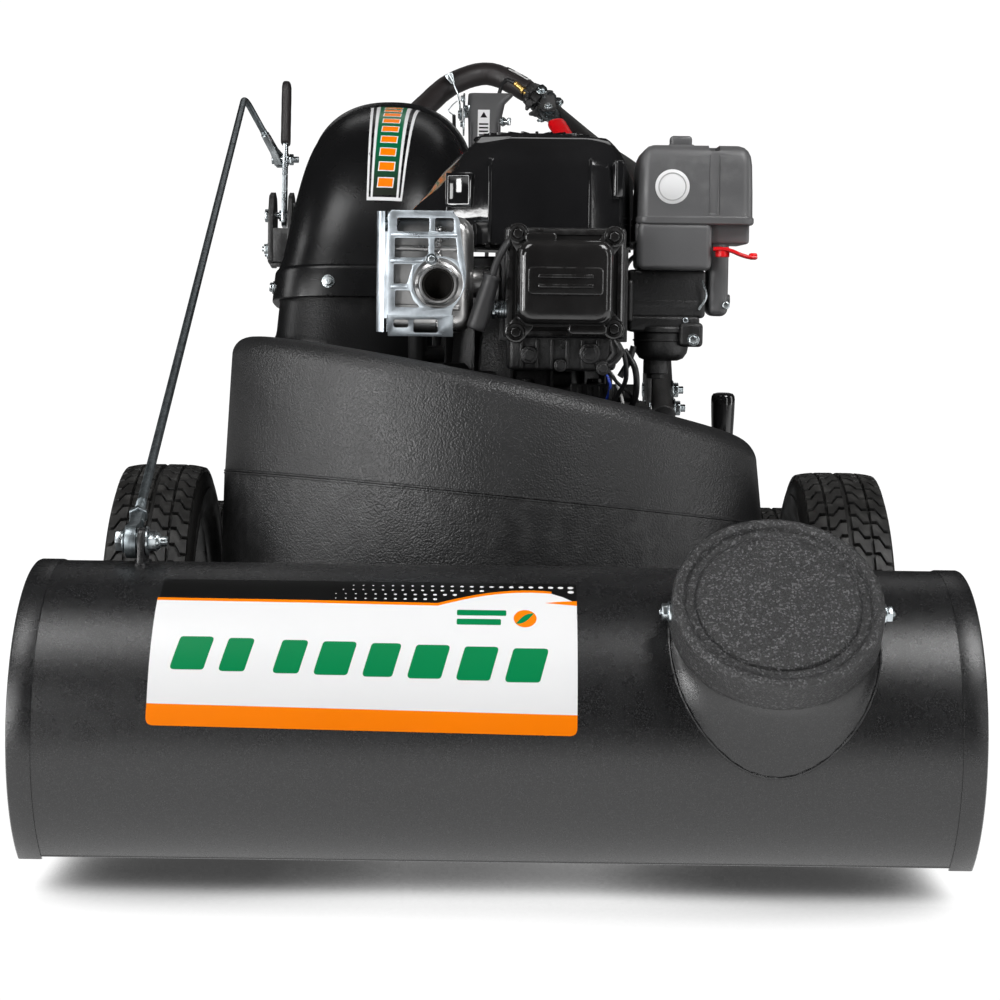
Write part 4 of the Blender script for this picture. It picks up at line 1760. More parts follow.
def console():
    # (x, y, z, half x, half y, corner radius), bottom to top
    stations = [ring_z(*row) for row in (
        (-27, 1235, 600, 20, 17, 12), (-27, 1262, 655, 21, 19, 13),
        (-27.5, 1287, 703, 22, 20, 14), (-25.5, 1299, 727, 25, 18, 12),
        (-20, 1304, 738, 30, 15, 10))]
    rings = [ring_z(-27, 1234, 598.6, 16, 13, 9), ring_z(-27, 1234.4, 598.8, 18.6, 15.6, 11),
             stations[0]]
    for low, high in zip(stations, stations[1:]):
        for k in range(1, 5):
            rings.append([Vec(p).lerp(Vec(q), k / 4) for p, q in zip(low, high)])
    rings += [ring_z(-19.6, 1305, 740.0, 30, 15, 10),
              ring_z(-19.4, 1305.4, 741.2, 28.6, 13.6, 9),
              ring_z(-19.2, 1305.6, 741.4, 24, 10, 7)]
    ribs = [sweep([(x, 1244.2 + (z - 655) * 0.5, z) for z in (606, 655, 700)], 1.3, 10,
                  rounding=0.8) for x in (-45.5, -8.5)]
    piece("console_post", join(loft(rings), *ribs), "satin_plastic",
          "control_console", smooth=44)
    film("console_label", [[(-36.3, 678), (-20.5, 678), (-20.5, 717), (-36.3, 717)]],
         "decal_white", on_post, 0.9, (6, 6))
    marks = [[(-34.6, z), (-22.2, z), (-22.2, z + 2.2), (-34.6, z + 2.2)]
             for z in (681, 686, 691, 696)] + [[(-28.4, 714), (-33, 706), (-23.8, 706)]]
    film("console_label_marks", marks, "decal_black", on_post, 1.25, (6, 6))
    wing_bolt = join(cyl((-10, 1284, 702), (4.5, 1270, 701.5), 3.0, sides=18, chamfer=0.5),
                     hexagon((-4, 1279, 702), (0.72, -0.69, 0), 6.4, 4.0),
                     turned_box((5.4, 1269, 701.6), (0.7, -0.7, 0), (0.7, 0.7, 0.0), UP,
                                3.0, 1.3, 5.0),
                     cyl((2.4, 1272, 698), (6.4, 1268, 706), 2.4, sides=14, chamfer=0.8))
    piece("post_bolt", wing_bolt, "zinc_plate", smooth=34)


def throttle():
    """Plate with its screws, and the bent lever with its tip and wire."""
    plate = bevel(prism(round_corners([(1262, 690), (1284, 682), (1318, 722), (1306, 742),
                                       (1282, 738)], 5), along_x, -56.4, -54.2), 0.5, 2, 40)
    parts = [plate, block((-51.5, 1292, 716), 4.4, 9, 8, 1.2)]
    parts += [bolt((-56.6, y, z), LEFT, 4.0, 2.8, washer_r=5.4, thick=0.7)
              for y, z in ((1296, 733.8), (1276, 698))]
    parts.append(cyl((-58, 1284, 731), (-53.6, 1284, 731), 3.4, sides=18, chamfer=0.5))
    piece("throttle_bracket", join(*parts), "zinc_plate", "throttle_plate",
          smooth=34)
    hub = lathe([(0, 0), (8.2, 0), (8.8, 0.6), (8.8, 1.6), (5.8, 1.9), (5.6, 5.2), (4.8, 6),
                 (0, 6)], (-57.4, 1292, 712), LEFT, 32)
    path = spline([(-60.4, 1291.5, 704), (-60.6, 1292, 714), (-61.2, 1294.5, 726),
                   (-63.5, 1298, 738), (-68.5, 1301, 750), (-71, 1303, 757),
                   (-75, 1305.4, 764.6)], 30)
    # strip section in half widths and half thicknesses
    section = ((-1, -0.5), (-0.9, -1), (0.9, -1), (1, -0.5), (1, 0.5), (0.9, 1), (-0.9, 1),
               (-1, 0.5))
    half_thick = 1.1
    rings = []
    for i, point in enumerate(path):
        s = i / (len(path) - 1)
        way = tangent(path, i)
        across = Vec(BACK)
        across = (across - way * across.dot(way)).normalized()
        normal = way.cross(across)
        half = 5.6 if s < 0.55 else 5.6 - 1.4 * (s - 0.55) / 0.45
        if s <= 0.08:
            half = 4.2 + s * 17
        rings.append([point + across * (a * half) + normal * (b * half_thick)
                      for a, b in section])
    piece("throttle_arm", join(loft(rings), hub), "zinc_plate",
          "throttle_lever", body="throttle", smooth=34)
    tip = flat_plate((-74.2, 1303, 761.2), (0.86, 0, 0.5), (-0.5, 0, 0.86),
                     round_corners([(-4.8, 7), (-5.4, 3), (-2.4, -8), (2.4, -8), (5.4, 3),
                                    (4.8, 7)], 2.2), -1.6, 1.6, 0.7)
    piece("throttle_tip", tip, "zinc_plate", body="throttle", smooth=44)
    wires = [sweep(spline([(-76.7, 1298, 718.1), (-70, 1297, 726), (-64.5, 1296, 730.5)], 14),
                   0.8, 8),
             sweep(spline([(-69, 1300, 712), (-74, 1298, 714.6), (-76.7, 1298, 718.1)], 12),
                   0.8, 8)]
    piece("throttle_wire", join(*wires), "zinc_plate", smooth=50)


def clutch_lever():
    """Pressed U channel with a dipped grip; stations run from the pivot to the end."""
    way = (Vec((93, 1178, 654)) - CLUTCH_PIVOT).normalized()
    across = CLUTCH_NORMAL.cross(way).normalized()
    top, wall = 2.4, 1.7

    def channel_ring(along, half):
        centre = CLUTCH_PIVOT + way * along
        inner = half - wall
        right = [(half - 1.2, top), (half, top - 1.2), (half, -top), (inner, -top),
                 (inner, top - wall - 0.6), (inner - 0.6, top - wall)]
        left = [(-a, b) for a, b in right]
        section = left[2::-1] + right + left[:2:-1]
        return [centre + across * a + CLUTCH_NORMAL * b for a, b in section]
    # (distance from the pivot, half width)
    stations = [(-14, 6.5), (-11, 9.5), (-7, 11.2), (0, 12), (8, 12), (14, 11.6), (20, 9.6),
                (28, 8), (50, 7.4), (78, 7)]
    channel = loft([channel_ring(*station) for station in stations])
    boss = flat_ring(CLUTCH_PIVOT + CLUTCH_NORMAL * 2.2, CLUTCH_NORMAL, 7.6, 3.6, 0.8)
    piece("clutch_channel", join(channel, boss), "zinc_plate", "clutch_lever",
          body="drive_clutch", smooth=34)
    # (distance from the pivot, half width, half thickness)
    grip = [(30, 8.8, 4.4), (30.4, 10.4, 5.8), (32, 11.6, 6.8), (36, 12, 7)]
    for k in range(1, 15):
        t = k / 15
        grip.append((36 + 56 * t, 12 - 1.0 * t + 0.18 * math.sin(k * 2.1),
                     7 - 0.15 * math.sin(k * 1.3)))
    grip += [(94, 11, 6.8), (98.5, 9.8, 6), (101, 7.6, 4.6), (102, 4, 2.6)]
    piece("clutch_dip", loft([power_ring(CLUTCH_PIVOT + way * along, across, CLUTCH_NORMAL,
                                         half, thick, 2.6, 28)
                              for along, half, thick in grip]),
          "red_vinyl", "clutch_grip", body="drive_clutch", smooth=50)


LEVER_PIN, LEVER_EYE = Vec((-276.5, 1080, 566)), Vec((-276.5, 1091, 637))
LEVER_WAY = (LEVER_EYE - LEVER_PIN).normalized()
LEVER_SIDE = Vec((0, LEVER_WAY.z, -LEVER_WAY.y))


def lever_bracket():
    """Folded plate with two cheeks that carry the height lever."""
    outline = round_corners([(1048, 508), (1104, 500), (1118, 560), (1108, 588), (1088, 596),
                             (1062, 590), (1050, 566)], [3, 3, 10, 10, 12, 10, 8], 6)
    bolt_holes = ((1062, 524), (1096, 518))
    parts = []
    for x0, x1 in ((-270, -265), (-294, -288)):
        cheek = cut(prism(outline, along_x, x0, x1),
                    *[cyl((x0 - 4, y, z), (x1 + 4, y, z), 4.2, sides=24)
                      for y, z in bolt_holes])
        parts.append(bevel(cheek, 0.7, 2, 40))
    parts += [box(-292, -268, 1050, 1056, 508, 550, 1.2, 2),
              box(-292, -268, 1060, 1102, 502, 508.5, 1.2, 2),
              box(-267, -206, 1062, 1082, 556, 582, 2),
              sweep([(-207.4, 1061.4, 556 + k * 1.3) for k in range(21)],
                    bead_radii(21, 2.0, 0.3, 2.2), 10)]
    piece("lever_cheeks", join(*parts), "powder_coat_frame",
          "lever_bracket", smooth=34)
    parts = []
    for y, z in bolt_holes:
        parts.append(bolt((-265, y, z), RIGHT, 6.4, 4.6, washer_r=8.6, thick=1.2))
        parts.append(bolt((-294, y, z), LEFT, 6.4, 4.6, washer_r=8.6, thick=1.2, stem=2.4))
    u_bolt = spline([(-213, 1076, 601), (-200, 1074, 604), (-183, 1070, 598),
                     (-178, 1063, 584), (-184, 1056, 570), (-200, 1058, 566),
                     (-213, 1062, 570)], 40)
    parts += [sweep(u_bolt, 3.0, 14, rounding=1),
              cyl((-298, 1080, 566), (-262, 1080, 566), 4.2, sides=22),
              hexagon((-295.6, 1080, 566), LEFT, 8.4, 5.0),
              hexagon((-263.6, 1080, 566), RIGHT, 8.4, 6.0)]
    piece("lever_bracket_bolts", join(*parts), "zinc_plate", smooth=34)


def height_lever():
    def at(along):
        return LEVER_PIN + LEVER_WAY * along

    def hole(centre, radius, sides=32):
        return cyl(centre - Vec((9, 0, 0)), centre + Vec((9, 0, 0)), radius, sides=sides)
    # (distance from the pin, half width)
    edge = [(-14, 7), (-13, 9.8), (-11, 11.6), (-7, 13), (12, 13), (56, 12), (84, 12),
            (90, 10.6), (98, 9), (158, 8)]
    outline = edge + [(along, -half) for along, half in edge[::-1]]
    bar = loft([[at(along) + LEVER_SIDE * half + Vec((x, 0, 0)) for along, half in outline]
                for x in (-2.5, 2.5)])
    bar = cut(bar, hole(LEVER_EYE, 4.6), hole(LEVER_PIN, 4.4), hole(at(36), 4.2, 28),
              hole(at(54), 4.2, 28))
    bar = join(bevel(bar, 0.6, 2, 40),
               tube(LEVER_PIN - Vec((6, 0, 0)), LEVER_PIN - Vec((2.3, 0, 0)), 7, 4.4, 32, 0.5),
               tube(LEVER_PIN + Vec((2.3, 0, 0)), LEVER_PIN + Vec((4.5, 0, 0)), 7, 4.4, 32,
                    0.4))
    piece("height_lever_bar", bar, "zinc_plate", "height_lever",
          body="lift_lever", smooth=34)
    # (distance from the pin, half width, half thickness)
    grip = [(91, 11.4, 3.8), (91.3, 13.2, 5.0), (92.6, 14.4, 5.8), (95, 15, 6)]
    for k in range(1, 18):
        t = k / 18
        grip.append((95 + 67 * t, 15 - 1.0 * t + 0.35 * math.cos(k * 1.05),
                     6 + 0.08 * math.sin(k)))
    grip += [(164, 13.6, 5.9), (168.4, 11.6, 5.2), (170.4, 9, 4.2), (171.2, 5, 2.4)]
    piece("height_lever_dip", loft([power_ring(at(along), Vec(RIGHT), LEVER_SIDE, thick,
                                               half, 2.5, 32)
                                    for along, half, thick in grip]),
          "vinyl_dip", "height_lever_grip", body="lift_lever", smooth=50)


def rod_upper_bolt():
    def at(x):
        return LEVER_EYE + Vec((x, 0, 0))
    part = join(hexagon(at(-13.0), LEFT, 6.6, 4.0, turn=0.4),
                flat_ring(at(-12.6), LEFT, 7.8, 4, 0.9),
                cyl(at(-13.4), at(17), 4.0, sides=22, chamfer=0.6),
                hexagon(at(5), RIGHT, 7.2, 5.6, turn=0.2), thread(at(10), at(17), 4.1),
                flat_ring(at(3.0), RIGHT, 7.8, 4, 1.2))
    piece("upper_eye_bolt", part, "zinc_plate", "rod_upper_bolt",
          body="lift_lever", smooth=32)


def rod_end(centre, way, radius, bore_start, scale):
    """Strap bent round the pin, closing on the rod."""
    across = Vec(RIGHT)
    side = across.cross(way).normalized()
    outline = []
    for k in range(19):
        angle = PI / 2 + PI * k / 18
        outline.append(centre + way * (radius * math.cos(angle))
                       + side * (radius * math.sin(angle)))
    neck = ((radius + 4, 7.0 * scale), (30, 6.2 * scale), (38, 6.0 * scale))
    outline += [centre + way * along - side * half for along, half in neck]
    outline += [centre + way * along + side * half for along, half in neck[::-1]]
    strap = cut(loft([[p + across * offset for p in outline] for offset in (-4.5, 4.5)]),
                cyl(centre - across * 14, centre + across * 14, 7.4, sides=44),
                cyl(centre + way * bore_start, centre + way * 60, 4.2, sides=28))
    return bevel(strap, 0.8, 2, 40)


def lift_rod():
    """Bent rod with a forked end below and an eye above."""
    low, high = Vec((-295, 0, ROD_PIN_Z)), Vec((-284.5, 1091, 637))
    corner = Vec((-321.5, 1030, 709))
    way_low, way_high = (corner - low).normalized(), (corner - high).normalized()
    start, end = low + way_low * 22.6, high + way_high * 19
    bend_in, bend_out = corner - way_low * 16, corner - way_high * 16
    peak = corner - way_low - way_high
    path = [start.lerp(bend_in, k / 24) for k in range(25)]
    for k in range(1, 12):
        s = k / 12
        path.append(bend_in * (1 - s) ** 2 + peak * (2 * s * (1 - s)) + bend_out * s * s)
    path += [bend_out.lerp(end, k / 4) for k in range(5)]
    rod = join(sweep(path, 4.0, 24, rounding=0.6),
               thread(low + way_low * 40, low + way_low * 66, 4.25, 1.2),
               thread(high + way_high * 36, high + way_high * 48, 4.25, 1.2))
    piece("lift_rod_bar", rod, "zinc_rod", "height_rod", body="lift_rod",
          smooth=40)
    nut = cut(hexagon(low + way_low * 41, way_low, 8.2, 5.0),
              cyl(low + way_low * 30, low + way_low * 60, 4.1, sides=28))
    fork = join(rod_end(low, way_low, 14, 22.5, 1.0),
                tube(low + way_low * 30, low + way_low * 42, 6.2, 4.1, 32, 0.5), nut)
    piece("lift_rod_fork", fork, "zinc_rod", "rod_lower_end", body="lift_rod",
          smooth=34)
    eye = join(rod_end(high, way_high, 11, 18.5, 0.74),
               tube(high + way_high * 30, high + way_high * 42, 5.3, 4.1, 32, 0.5))
    piece("lift_rod_eye", eye, "zinc_plate", "rod_upper_end", body="lift_rod",
          smooth=34)


def gear_lever():
    x, y, z = 231, 560, 152
    stick = join(cyl((x, y, z), (x, y, 318), 5.0, sides=24, chamfer=0.8),
                 cyl((226, y, z), (237, y, z), 11, sides=36, chamfer=0.9),
                 hexagon((237, y, z), RIGHT, 7.0, 3.6),
                 sweep(spline([(x, y, 168), (x, y + 0.6, 176), (x, y, 184)], 10), 5.6,
                       rounding=1))
    piece("gear_stick", stick, "zinc_plate", "gear_lever", body="gear_shift",
          smooth=34)
    knob = join(lathe([(5.2, 306.2), (7.6, 306), (8.6, 307), (9.2, 309), (10.4, 316),
                       (11.2, 330), (11.9, 345), (12.3, 358), (12.4, 364), (11.9, 367.6),
                       (10.2, 370), (6.4, 371), (0, 371.2)], (x, y, 0), UP, 56),
                lathe([(5.2, 306.2), (5.2, 320), (0, 320)], (x, y, 0), UP, 24))
    piece("gear_grip", knob, "gloss_cover", "gear_knob", body="gear_shift",
          smooth=42)


def engine_wires():
    """Wires and harness under the engine's right side."""
    white = spline([(90, 296, 404), (101, 272, 398), (107, 262, 385), (112, 268, 368),
                    (113, 300, 360)], 40)
    piece("white_wires", sweep(white, 1.5, 12), "wire_white", smooth=60)
    blue = spline([(82, 298, 404), (94, 266, 400), (99, 262, 388), (96, 276, 372),
                   (94, 310, 364)], 40)
    piece("blue_wire", sweep(blue, 1.4, 12), "wire_blue", smooth=60)
    thick = spline([(112, 264, 420), (121, 256, 404), (123, 262, 384), (120, 290, 368),
                    (112, 318, 362)], 50)
    thin = spline([(96, 240, 432), (108, 226, 420), (112, 236, 396), (104, 262, 376)], 40)
    piece("engine_harness", join(sweep(thick, 3.0, 16), sweep(thin, 2.2, 12)),
          "cable_sleeve", smooth=60)


# ------------------------------------------------------------------ wheels
TREAD_DEPTH = 3.6
# outer side wall beyond the bead, as (radius from the bead or the tread, inset from the side)
LARGE_WALL = ([(20, 0.6), (26, 0.6), (27, 0.1), (30, 0.1), (31, 0.8)],
              [(22, 0.9), (15, 1.5), (11, 2.6), (8.8, 4.2)])
SMALL_WALL = ([(18, 0.6), (19, 0.1), (21, 0.1), (22, 0.8)],
              [(14, 1.5), (10.5, 2.6), (8.6, 4.2)])


def tyre(centre, radius, half, pitch_count):
    large = radius > 130
    bead = radius * 0.66

    def crown(x):
        return radius - 4.6 * (abs(x) / half) ** 4.0
    inner, outer = LARGE_WALL if large else SMALL_WALL
    wall = [(0, 12), (1.2, 9.4), (4, 7), (7, 5.6), (8, 4.4), (10, 3.6), (14, 1.6)] + inner
    profile = [(bead + rise, inset - half) for rise, inset in wall]
    profile += [(radius - drop, inset - half) for drop, inset in outer]
    profile += [(crown(x) - TREAD_DEPTH, x)
                for x in (-half + 6.2, -half + 10, -half * 0.5, -half * 0.2, 0)]
    profile += [(r, -x) for r, x in profile[-2::-1]]
    parts = [lathe(profile, centre, RIGHT, 120, close=True)]

    def tread_block(outline):
        """Raised block from an outline in (x, angle round the wheel)."""
        middle_x = sum(p[0] for p in outline) / len(outline)
        middle_angle = sum(p[1] for p in outline) / len(outline)

        def ring(grow, rise):
            points = []
            for x, angle in outline:
                dx, arc = x - middle_x, (angle - middle_angle) * radius
                length = max(1e-6, math.hypot(dx, arc))
                scale = (length + grow) / length
                x = max(-half + 0.9, min(half - 0.9, middle_x + dx * scale))
                turn = middle_angle + arc * scale / radius
                r = crown(x) + rise
                points.append(centre + Vec((x, r * math.sin(turn), r * math.cos(turn))))
            return points
        return loft([ring(0.3, -TREAD_DEPTH - 0.6), ring(0.0, -0.8), ring(-0.7, 0.0)])
    pitch = 2 * PI / pitch_count
    length = pitch * 0.8
    reach = half - 5.0
    # columns of blocks: (x start, x end, slant, offset); x in reaches, the rest in pitches
    columns = ((-1.0, -0.56, 0.55, 0.0), (-0.50, -0.06, 0.55, 0.5),
               (0.06, 0.50, -0.55, 0.5), (0.56, 1.0, -0.55, 0.0))
    for i in range(pitch_count):
        for x0, x1, slant, offset in columns:
            x0, x1 = x0 * reach, x1 * reach
            angle = i * pitch + offset * pitch
            # each edge runs flat, slants, then runs flat again
            xs = [x0, x0 + (x1 - x0) * 0.30, x0 + (x1 - x0) * 0.66, x1]
            lead = list(zip(xs, [angle] * 2 + [angle + slant * pitch] * 2))
            parts.append(tread_block(lead + [(x, a + length) for x, a in lead[::-1]]))
    return join(*parts)


def rim(centre, radius, half, bore):
    """Two beads, a well, a pressed disc with five holes, and the hub."""
    large = radius > 130
    edge = radius * 0.66 - 0.6
    disc_outer, disc_inner = (46, 40) if large else (36, 31)
    # (radius, x) of the right half, inward from the well, then the same on the left
    profile = [
        (edge - 0.8, 12.4 - half), (edge + 0.2, 13.0 - half), (edge, 15 - half),
        (edge - 1.2, 18 - half), (edge - 7, 24 - half), (edge - 8, -4), (edge - 8, 4),
        (edge - 7, half - 24), (edge - 1.2, half - 18), (edge, half - 15),
        (edge + 0.2, half - 13.0), (edge - 0.8, half - 12.4), (edge - 3.0, half - 14.6),
        (edge - 4.2, half - 19), (edge - 10, half - 25.5), (edge - 10.6, 3.2),
        (edge - 14, 1.6), (edge - 22, 2.4), (edge - 27, 5.0), (disc_outer, 5.4),
        (disc_inner, 3.0), (25, 2.0), (23.6, 4), (23, half - 5), (22.2, half - 4),
        (bore + 0.5, half - 4), (bore + 0.5, 4 - half), (22.2, 4 - half), (23, 5 - half),
        (23.6, -8), (25, -5.8), (disc_inner, -5.0), (disc_outer, -2.8), (edge - 27, -3.2),
        (edge - 22, -5.6), (edge - 14, -6.4), (edge - 10.6, -7.6), (edge - 10, 25.5 - half),
        (edge - 4.2, 19 - half), (edge - 3.0, 14.6 - half)]
    hole_circle = (edge - 18 + disc_inner) / 2 + 1
    holes = []
    for angle in angles(5, 0.3):
        y, z = hole_circle * math.sin(angle), hole_circle * math.cos(angle)
        holes.append(cyl(centre + Vec((-30, y, z)), centre + Vec((30, y, z)),
                         6.2 if large else 5.0, sides=28))
    return cut(lathe(profile, centre, RIGHT, 96, close=True), *holes)


def wheel(name, side, x, y, radius, width, pitch_count, bore):
    centre = Vec((side * x, y, radius))
    body = f"{name}_wheel"
    piece(f"{name}_tyre_tread", tyre(centre, radius, width / 2, pitch_count), "tyre_rubber",
          f"{name}_tyre", body=body, smooth=34)
    piece(f"{name}_rim_pressing", rim(centre, radius, width / 2, bore), "rim_paint",
          f"{name}_rim", body=body, smooth=32)
    edge = radius * 0.66 - 0.6
    out = Vec((0, math.sin(2.2), math.cos(2.2)))

    def on_valve(drop, x):
        return centre + out * (edge - drop) + Vec((side * x, 0, 0))
    valve = join(cyl(on_valve(11, 8), on_valve(24, 16), 3.6, 3.0, 18, 0.6),
                 cyl(on_valve(24, 16), on_valve(29, 19), 3.8, sides=18, chamfer=0.8))
    piece(f"{name}_valve", valve, "dark_plastic", body=body, smooth=40)
    if radius > 130:
        bolts = [bolt(centre + Vec((side * 2.4, 31 * math.sin(angle), 31 * math.cos(angle))),
                      (side, 0, 0), 5.2, 4.0, washer_r=7.0, thick=1.0)
                 for angle in angles(4, 0.2)]
        piece(f"{name}_rim_bolts", join(*bolts), "zinc_plate", body=body, smooth=34)


def wheels():
    # (name, x, y, radius, width, tread pitches, bore radius)
    for name, *sizes in (("front", 317, FRONT_Y, FRONT_R, 82, 54, 8),
                         ("rear", 315, REAR_Y, REAR_R, 70, 42, 9)):
        wheel(f"{name}_left", -1, *sizes)
        wheel(f"{name}_right", 1, *sizes)


# ------------------------------------------------------------------ frame, drive and rotor
def chassis_frame():
    parts = []
    for side in (-1, 1):
        def side_box(x0, x1, *rest):
            """Box between two distances from the middle, on this side."""
            return box(*sorted((side * x0, side * x1)), *rest)
        parts += [
            cut(side_box(162, 192, 148, 850, 125, 141, 3.0),
                side_box(164.5, 189.5, 140, 158, 127.5, 138.5, 0),
                side_box(164.5, 189.5, 840, 860, 127.5, 138.5, 0)),
            cut(side_box(162, 192, FRONT_Y - 20, FRONT_Y + 20, 139, 164, 2.5),
                cyl((-220, FRONT_Y, FRONT_R), (220, FRONT_Y, FRONT_R), 8.4, sides=40)),
            cut(side_box(162, 192, REAR_Y - 20, REAR_Y + 20, 98, 127, 2.5),
                cyl((-220, REAR_Y, REAR_R), (220, REAR_Y, REAR_R), 9.4, sides=40)),
            side_box(168, 188, 240, 262, 139, 169.6, 2.0),
            side_box(168, 188, 520, 542, 139, 169.6, 2.0),
            cut(side_box(157.4, 163.4, 668, 732, 128, 386, 1.2),
                *[cyl((side * 150, 700, z), (side * 170, 700, z), 5.0, sides=28)
                  for z in (330, 300, 270)]),
            cyl((side * 141, 165, 133), (side * 164, 165, 133), 6.35, sides=40, chamfer=0.8)]
    # cross members, then the gear lever's bracket on the right
    parts += [box(-163, 163, y0, y1, 125.4, 140.6, 2.5) for y0, y1 in ((600, 630), (738, 766))]
    parts += [box(191, 224, 548, 572, 128, 138, 1.4),
              cut(box(218, 224, 548, 572, 128, 166, 1.4),
                  cyl((210, 560, 152), (230, 560, 152), 5.2, sides=28))]
    piece("frame_weldment", join(*parts), "powder_coat_frame",
          "chassis_frame", smooth=34)


def frame_welds_and_bolts():
    welds, bolts = [], []
    for side in (-1, 1):
        for y, outward in ((600, -1), (630, 1), (738, -1), (766, 1)):
            upright = [(side * 161.4, y + 0.9 * outward, 126 + k * 0.75) for k in range(20)]
            welds.append(sweep(upright, bead_radii(20, 1.6, 0.25, 2.1), 8))
            level = [(side * (145 + k * 0.8), y + 0.4 * outward, 141.2) for k in range(20)]
            welds.append(sweep(level, bead_radii(20, 1.5, 0.25, 2.3), 8))
        for y in (668, 732):
            welds.append(sweep([(side * 160.4, y, 142 + k) for k in range(10)],
                               bead_radii(10, 1.4, 0.25, 2.3), 8))
        bolts += [bolt((side * 178, y, 124.8), DOWN, 7.6, 5.4, washer_r=10, thick=1.4)
                  for y in (251, 531)]
        bolts.append(cyl((side * 139.8, 165, 133), (side * 141.4, 165, 133), 5.6, sides=28,
                         chamfer=0.7))
    piece("frame_welds", join(*welds), "powder_coat_frame", smooth=50)
    piece("frame_bolts", join(*bolts), "zinc_plate", smooth=34)


def axles():
    for name, side in (("left", -1), ("right", 1)):
        def front(x):
            return side * x, FRONT_Y, FRONT_R
        stub = join(cyl(front(158), front(357.4), 8, chamfer=1.0),
                    hexagon(front(354.2), (side, 0, 0), 13.4, 5.6),
                    thread(front(359.4), front(362.6), 6.4),
                    tube(front(356.2), front(354.4), 16, 7, 36, 0.4),
                    hexagon(front(158.6), (-side, 0, 0), 13.6, 6.0))
        piece(f"front_{name}_stub", stub, "zinc_plate", f"front_{name}_axle",
              smooth=34)

    def rear(x):
        return x, REAR_Y, REAR_R
    parts = [cyl(rear(-354), rear(354), 9, chamfer=1.2)]
    for side in (-1, 1):
        parts += [hexagon(rear(side * 351.4), (side, 0, 0), 13.6, 5.4),
                  thread(rear(side * 356), rear(side * 359.4), 7.0),
                  tube(rear(side * 349.6), rear(side * 351.6), 15.4, 8, 36, 0.4),
                  tube(rear(side * 196), rear(side * 203), 14, 8.6, 36, 0.8)]
    piece("rear_shaft", join(*parts), "zinc_plate", "rear_axle", smooth=34)


def transaxle():
    """Two castings with ribs, flange bolts and an input post."""
    # (z, half x, half y, corner radius)
    stations = [(78, 36, 26, 10), (78.6, 39, 29, 12), (84, 47, 36, 13), (88, 51, 39, 14),
                (92, 52, 40, 14), (110, 52, 40, 14), (111, 55.6, 43.6, 16),
                (117.6, 55.6, 43.6, 16), (118.6, 52, 40, 14), (138, 51, 39, 14),
                (146, 42, 33, 13), (150, 36, 30, 12)]
    parts = [loft([ring_z(0, REAR_Y, *station) for station in stations]),
             lathe([(0, 148), (19, 148), (18, 153), (15.4, 156), (14.4, 186), (0, 186)],
                   (0, REAR_Y, 0), UP, 44),
             cyl((-112, REAR_Y, REAR_R), (112, REAR_Y, REAR_R), 19.6, sides=44, chamfer=2)]
    for x in (-84, -66, 66, 84):
        parts.append(lathe([(0, -2.2), (22.4, -2.2), (23, -1.6), (23, 1.6), (22.4, 2.2),
                            (0, 2.2)], (x, REAR_Y, REAR_R), RIGHT, 44))
    parts += [box(x - 1.2, x + 1.2, REAR_Y - 42, REAR_Y + 42, 86, 137, 1.0, 2)
              for x in range(-36, 37, 12)]
    parts += [bolt((x, REAR_Y + y, 117.4), UP, 5.0, 4.0, washer_r=6.6, thick=0.9)
              for x, y in ((-47, -34), (47, -34), (-47, 34), (47, 34), (0, -41), (0, 41))]
    piece("transaxle_casting", join(*parts), "cast_black", "transaxle",
          smooth=34)


def impeller():
    """Dished plate, hub and six folded blades with chopping teeth below."""
    centre = Vec((SHAFT_X, SHAFT_Y, 0))
    parts = [lathe([(13, 280), (190, 280), (194, 280.4), (195, 281.4), (195, 283.6),
                    (194, 284.6), (190, 285), (60, 285), (52, 288), (30, 290), (13, 290)],
                   centre, UP, 120, close=True),
             lathe([(13.2, 204), (24, 204), (26, 206), (26, 298), (24, 300), (13.2, 300)],
                   centre, UP, 56, close=True)]
    # blade outline in (distance from the shaft, z)
    blade = round_corners([(20, 207), (150, 207), (156, 214), (162, 207), (168, 214),
                           (174, 207), (188, 212), (188, 280.6), (20, 280.6)],
                          [1, 1, 1, 1, 1, 1, 6, 1, 1], 3)
    bolts = []
    for i in range(6):
        angle = PI / 3 * i
        out = Vec((math.cos(angle), math.sin(angle), 0))
        across = Vec((-math.sin(angle), math.cos(angle), 0))
        parts.append(bevel(loft([[centre + out * r + across * offset + Vec((0, 0, z))
                                  for r, z in blade] for offset in (-2.5, 2.5)]), 0.6, 2, 40))
        parts.append(turned_box(centre + out * 108 + across * 10 + Vec((0, 0, 278.4)), out,
                                across, UP, 76, 10, 1.8, 0.8))
        bolts += [bolt(centre + out * r + across * 11 + Vec((0, 0, 276.8)), DOWN, 5.6, 4.2,
                       washer_r=7.6, thick=1.1) for r in (52, 108, 164)]
    piece("impeller_fan", join(*parts), "bare_steel", "impeller", body="rotor",
          smooth=34)
    piece("impeller_bolts", join(*bolts), "zinc_plate", body="rotor", smooth=34)


def crankshaft():
    def at(z):
        return SHAFT_X, SHAFT_Y, z
    part = join(cyl(at(200), at(398), 12.5, sides=44, chamfer=0.8),
                hexagon(at(202.6), DOWN, 12.6, 7.4),
                lathe([(0, 0), (20, 0), (20.6, 0.6), (20.6, 2), (0, 2)], at(204.4), DOWN, 44))
    piece("rotor_shaft", part, "bare_steel", "crankshaft", body="rotor",
          smooth=34)


# ------------------------------------------------------------------ stage, light, camera (m)
FLOOR_HALF = 14.0
FLOOR_GLOSS = 1.7       # brightness of the sweep seen in reflections
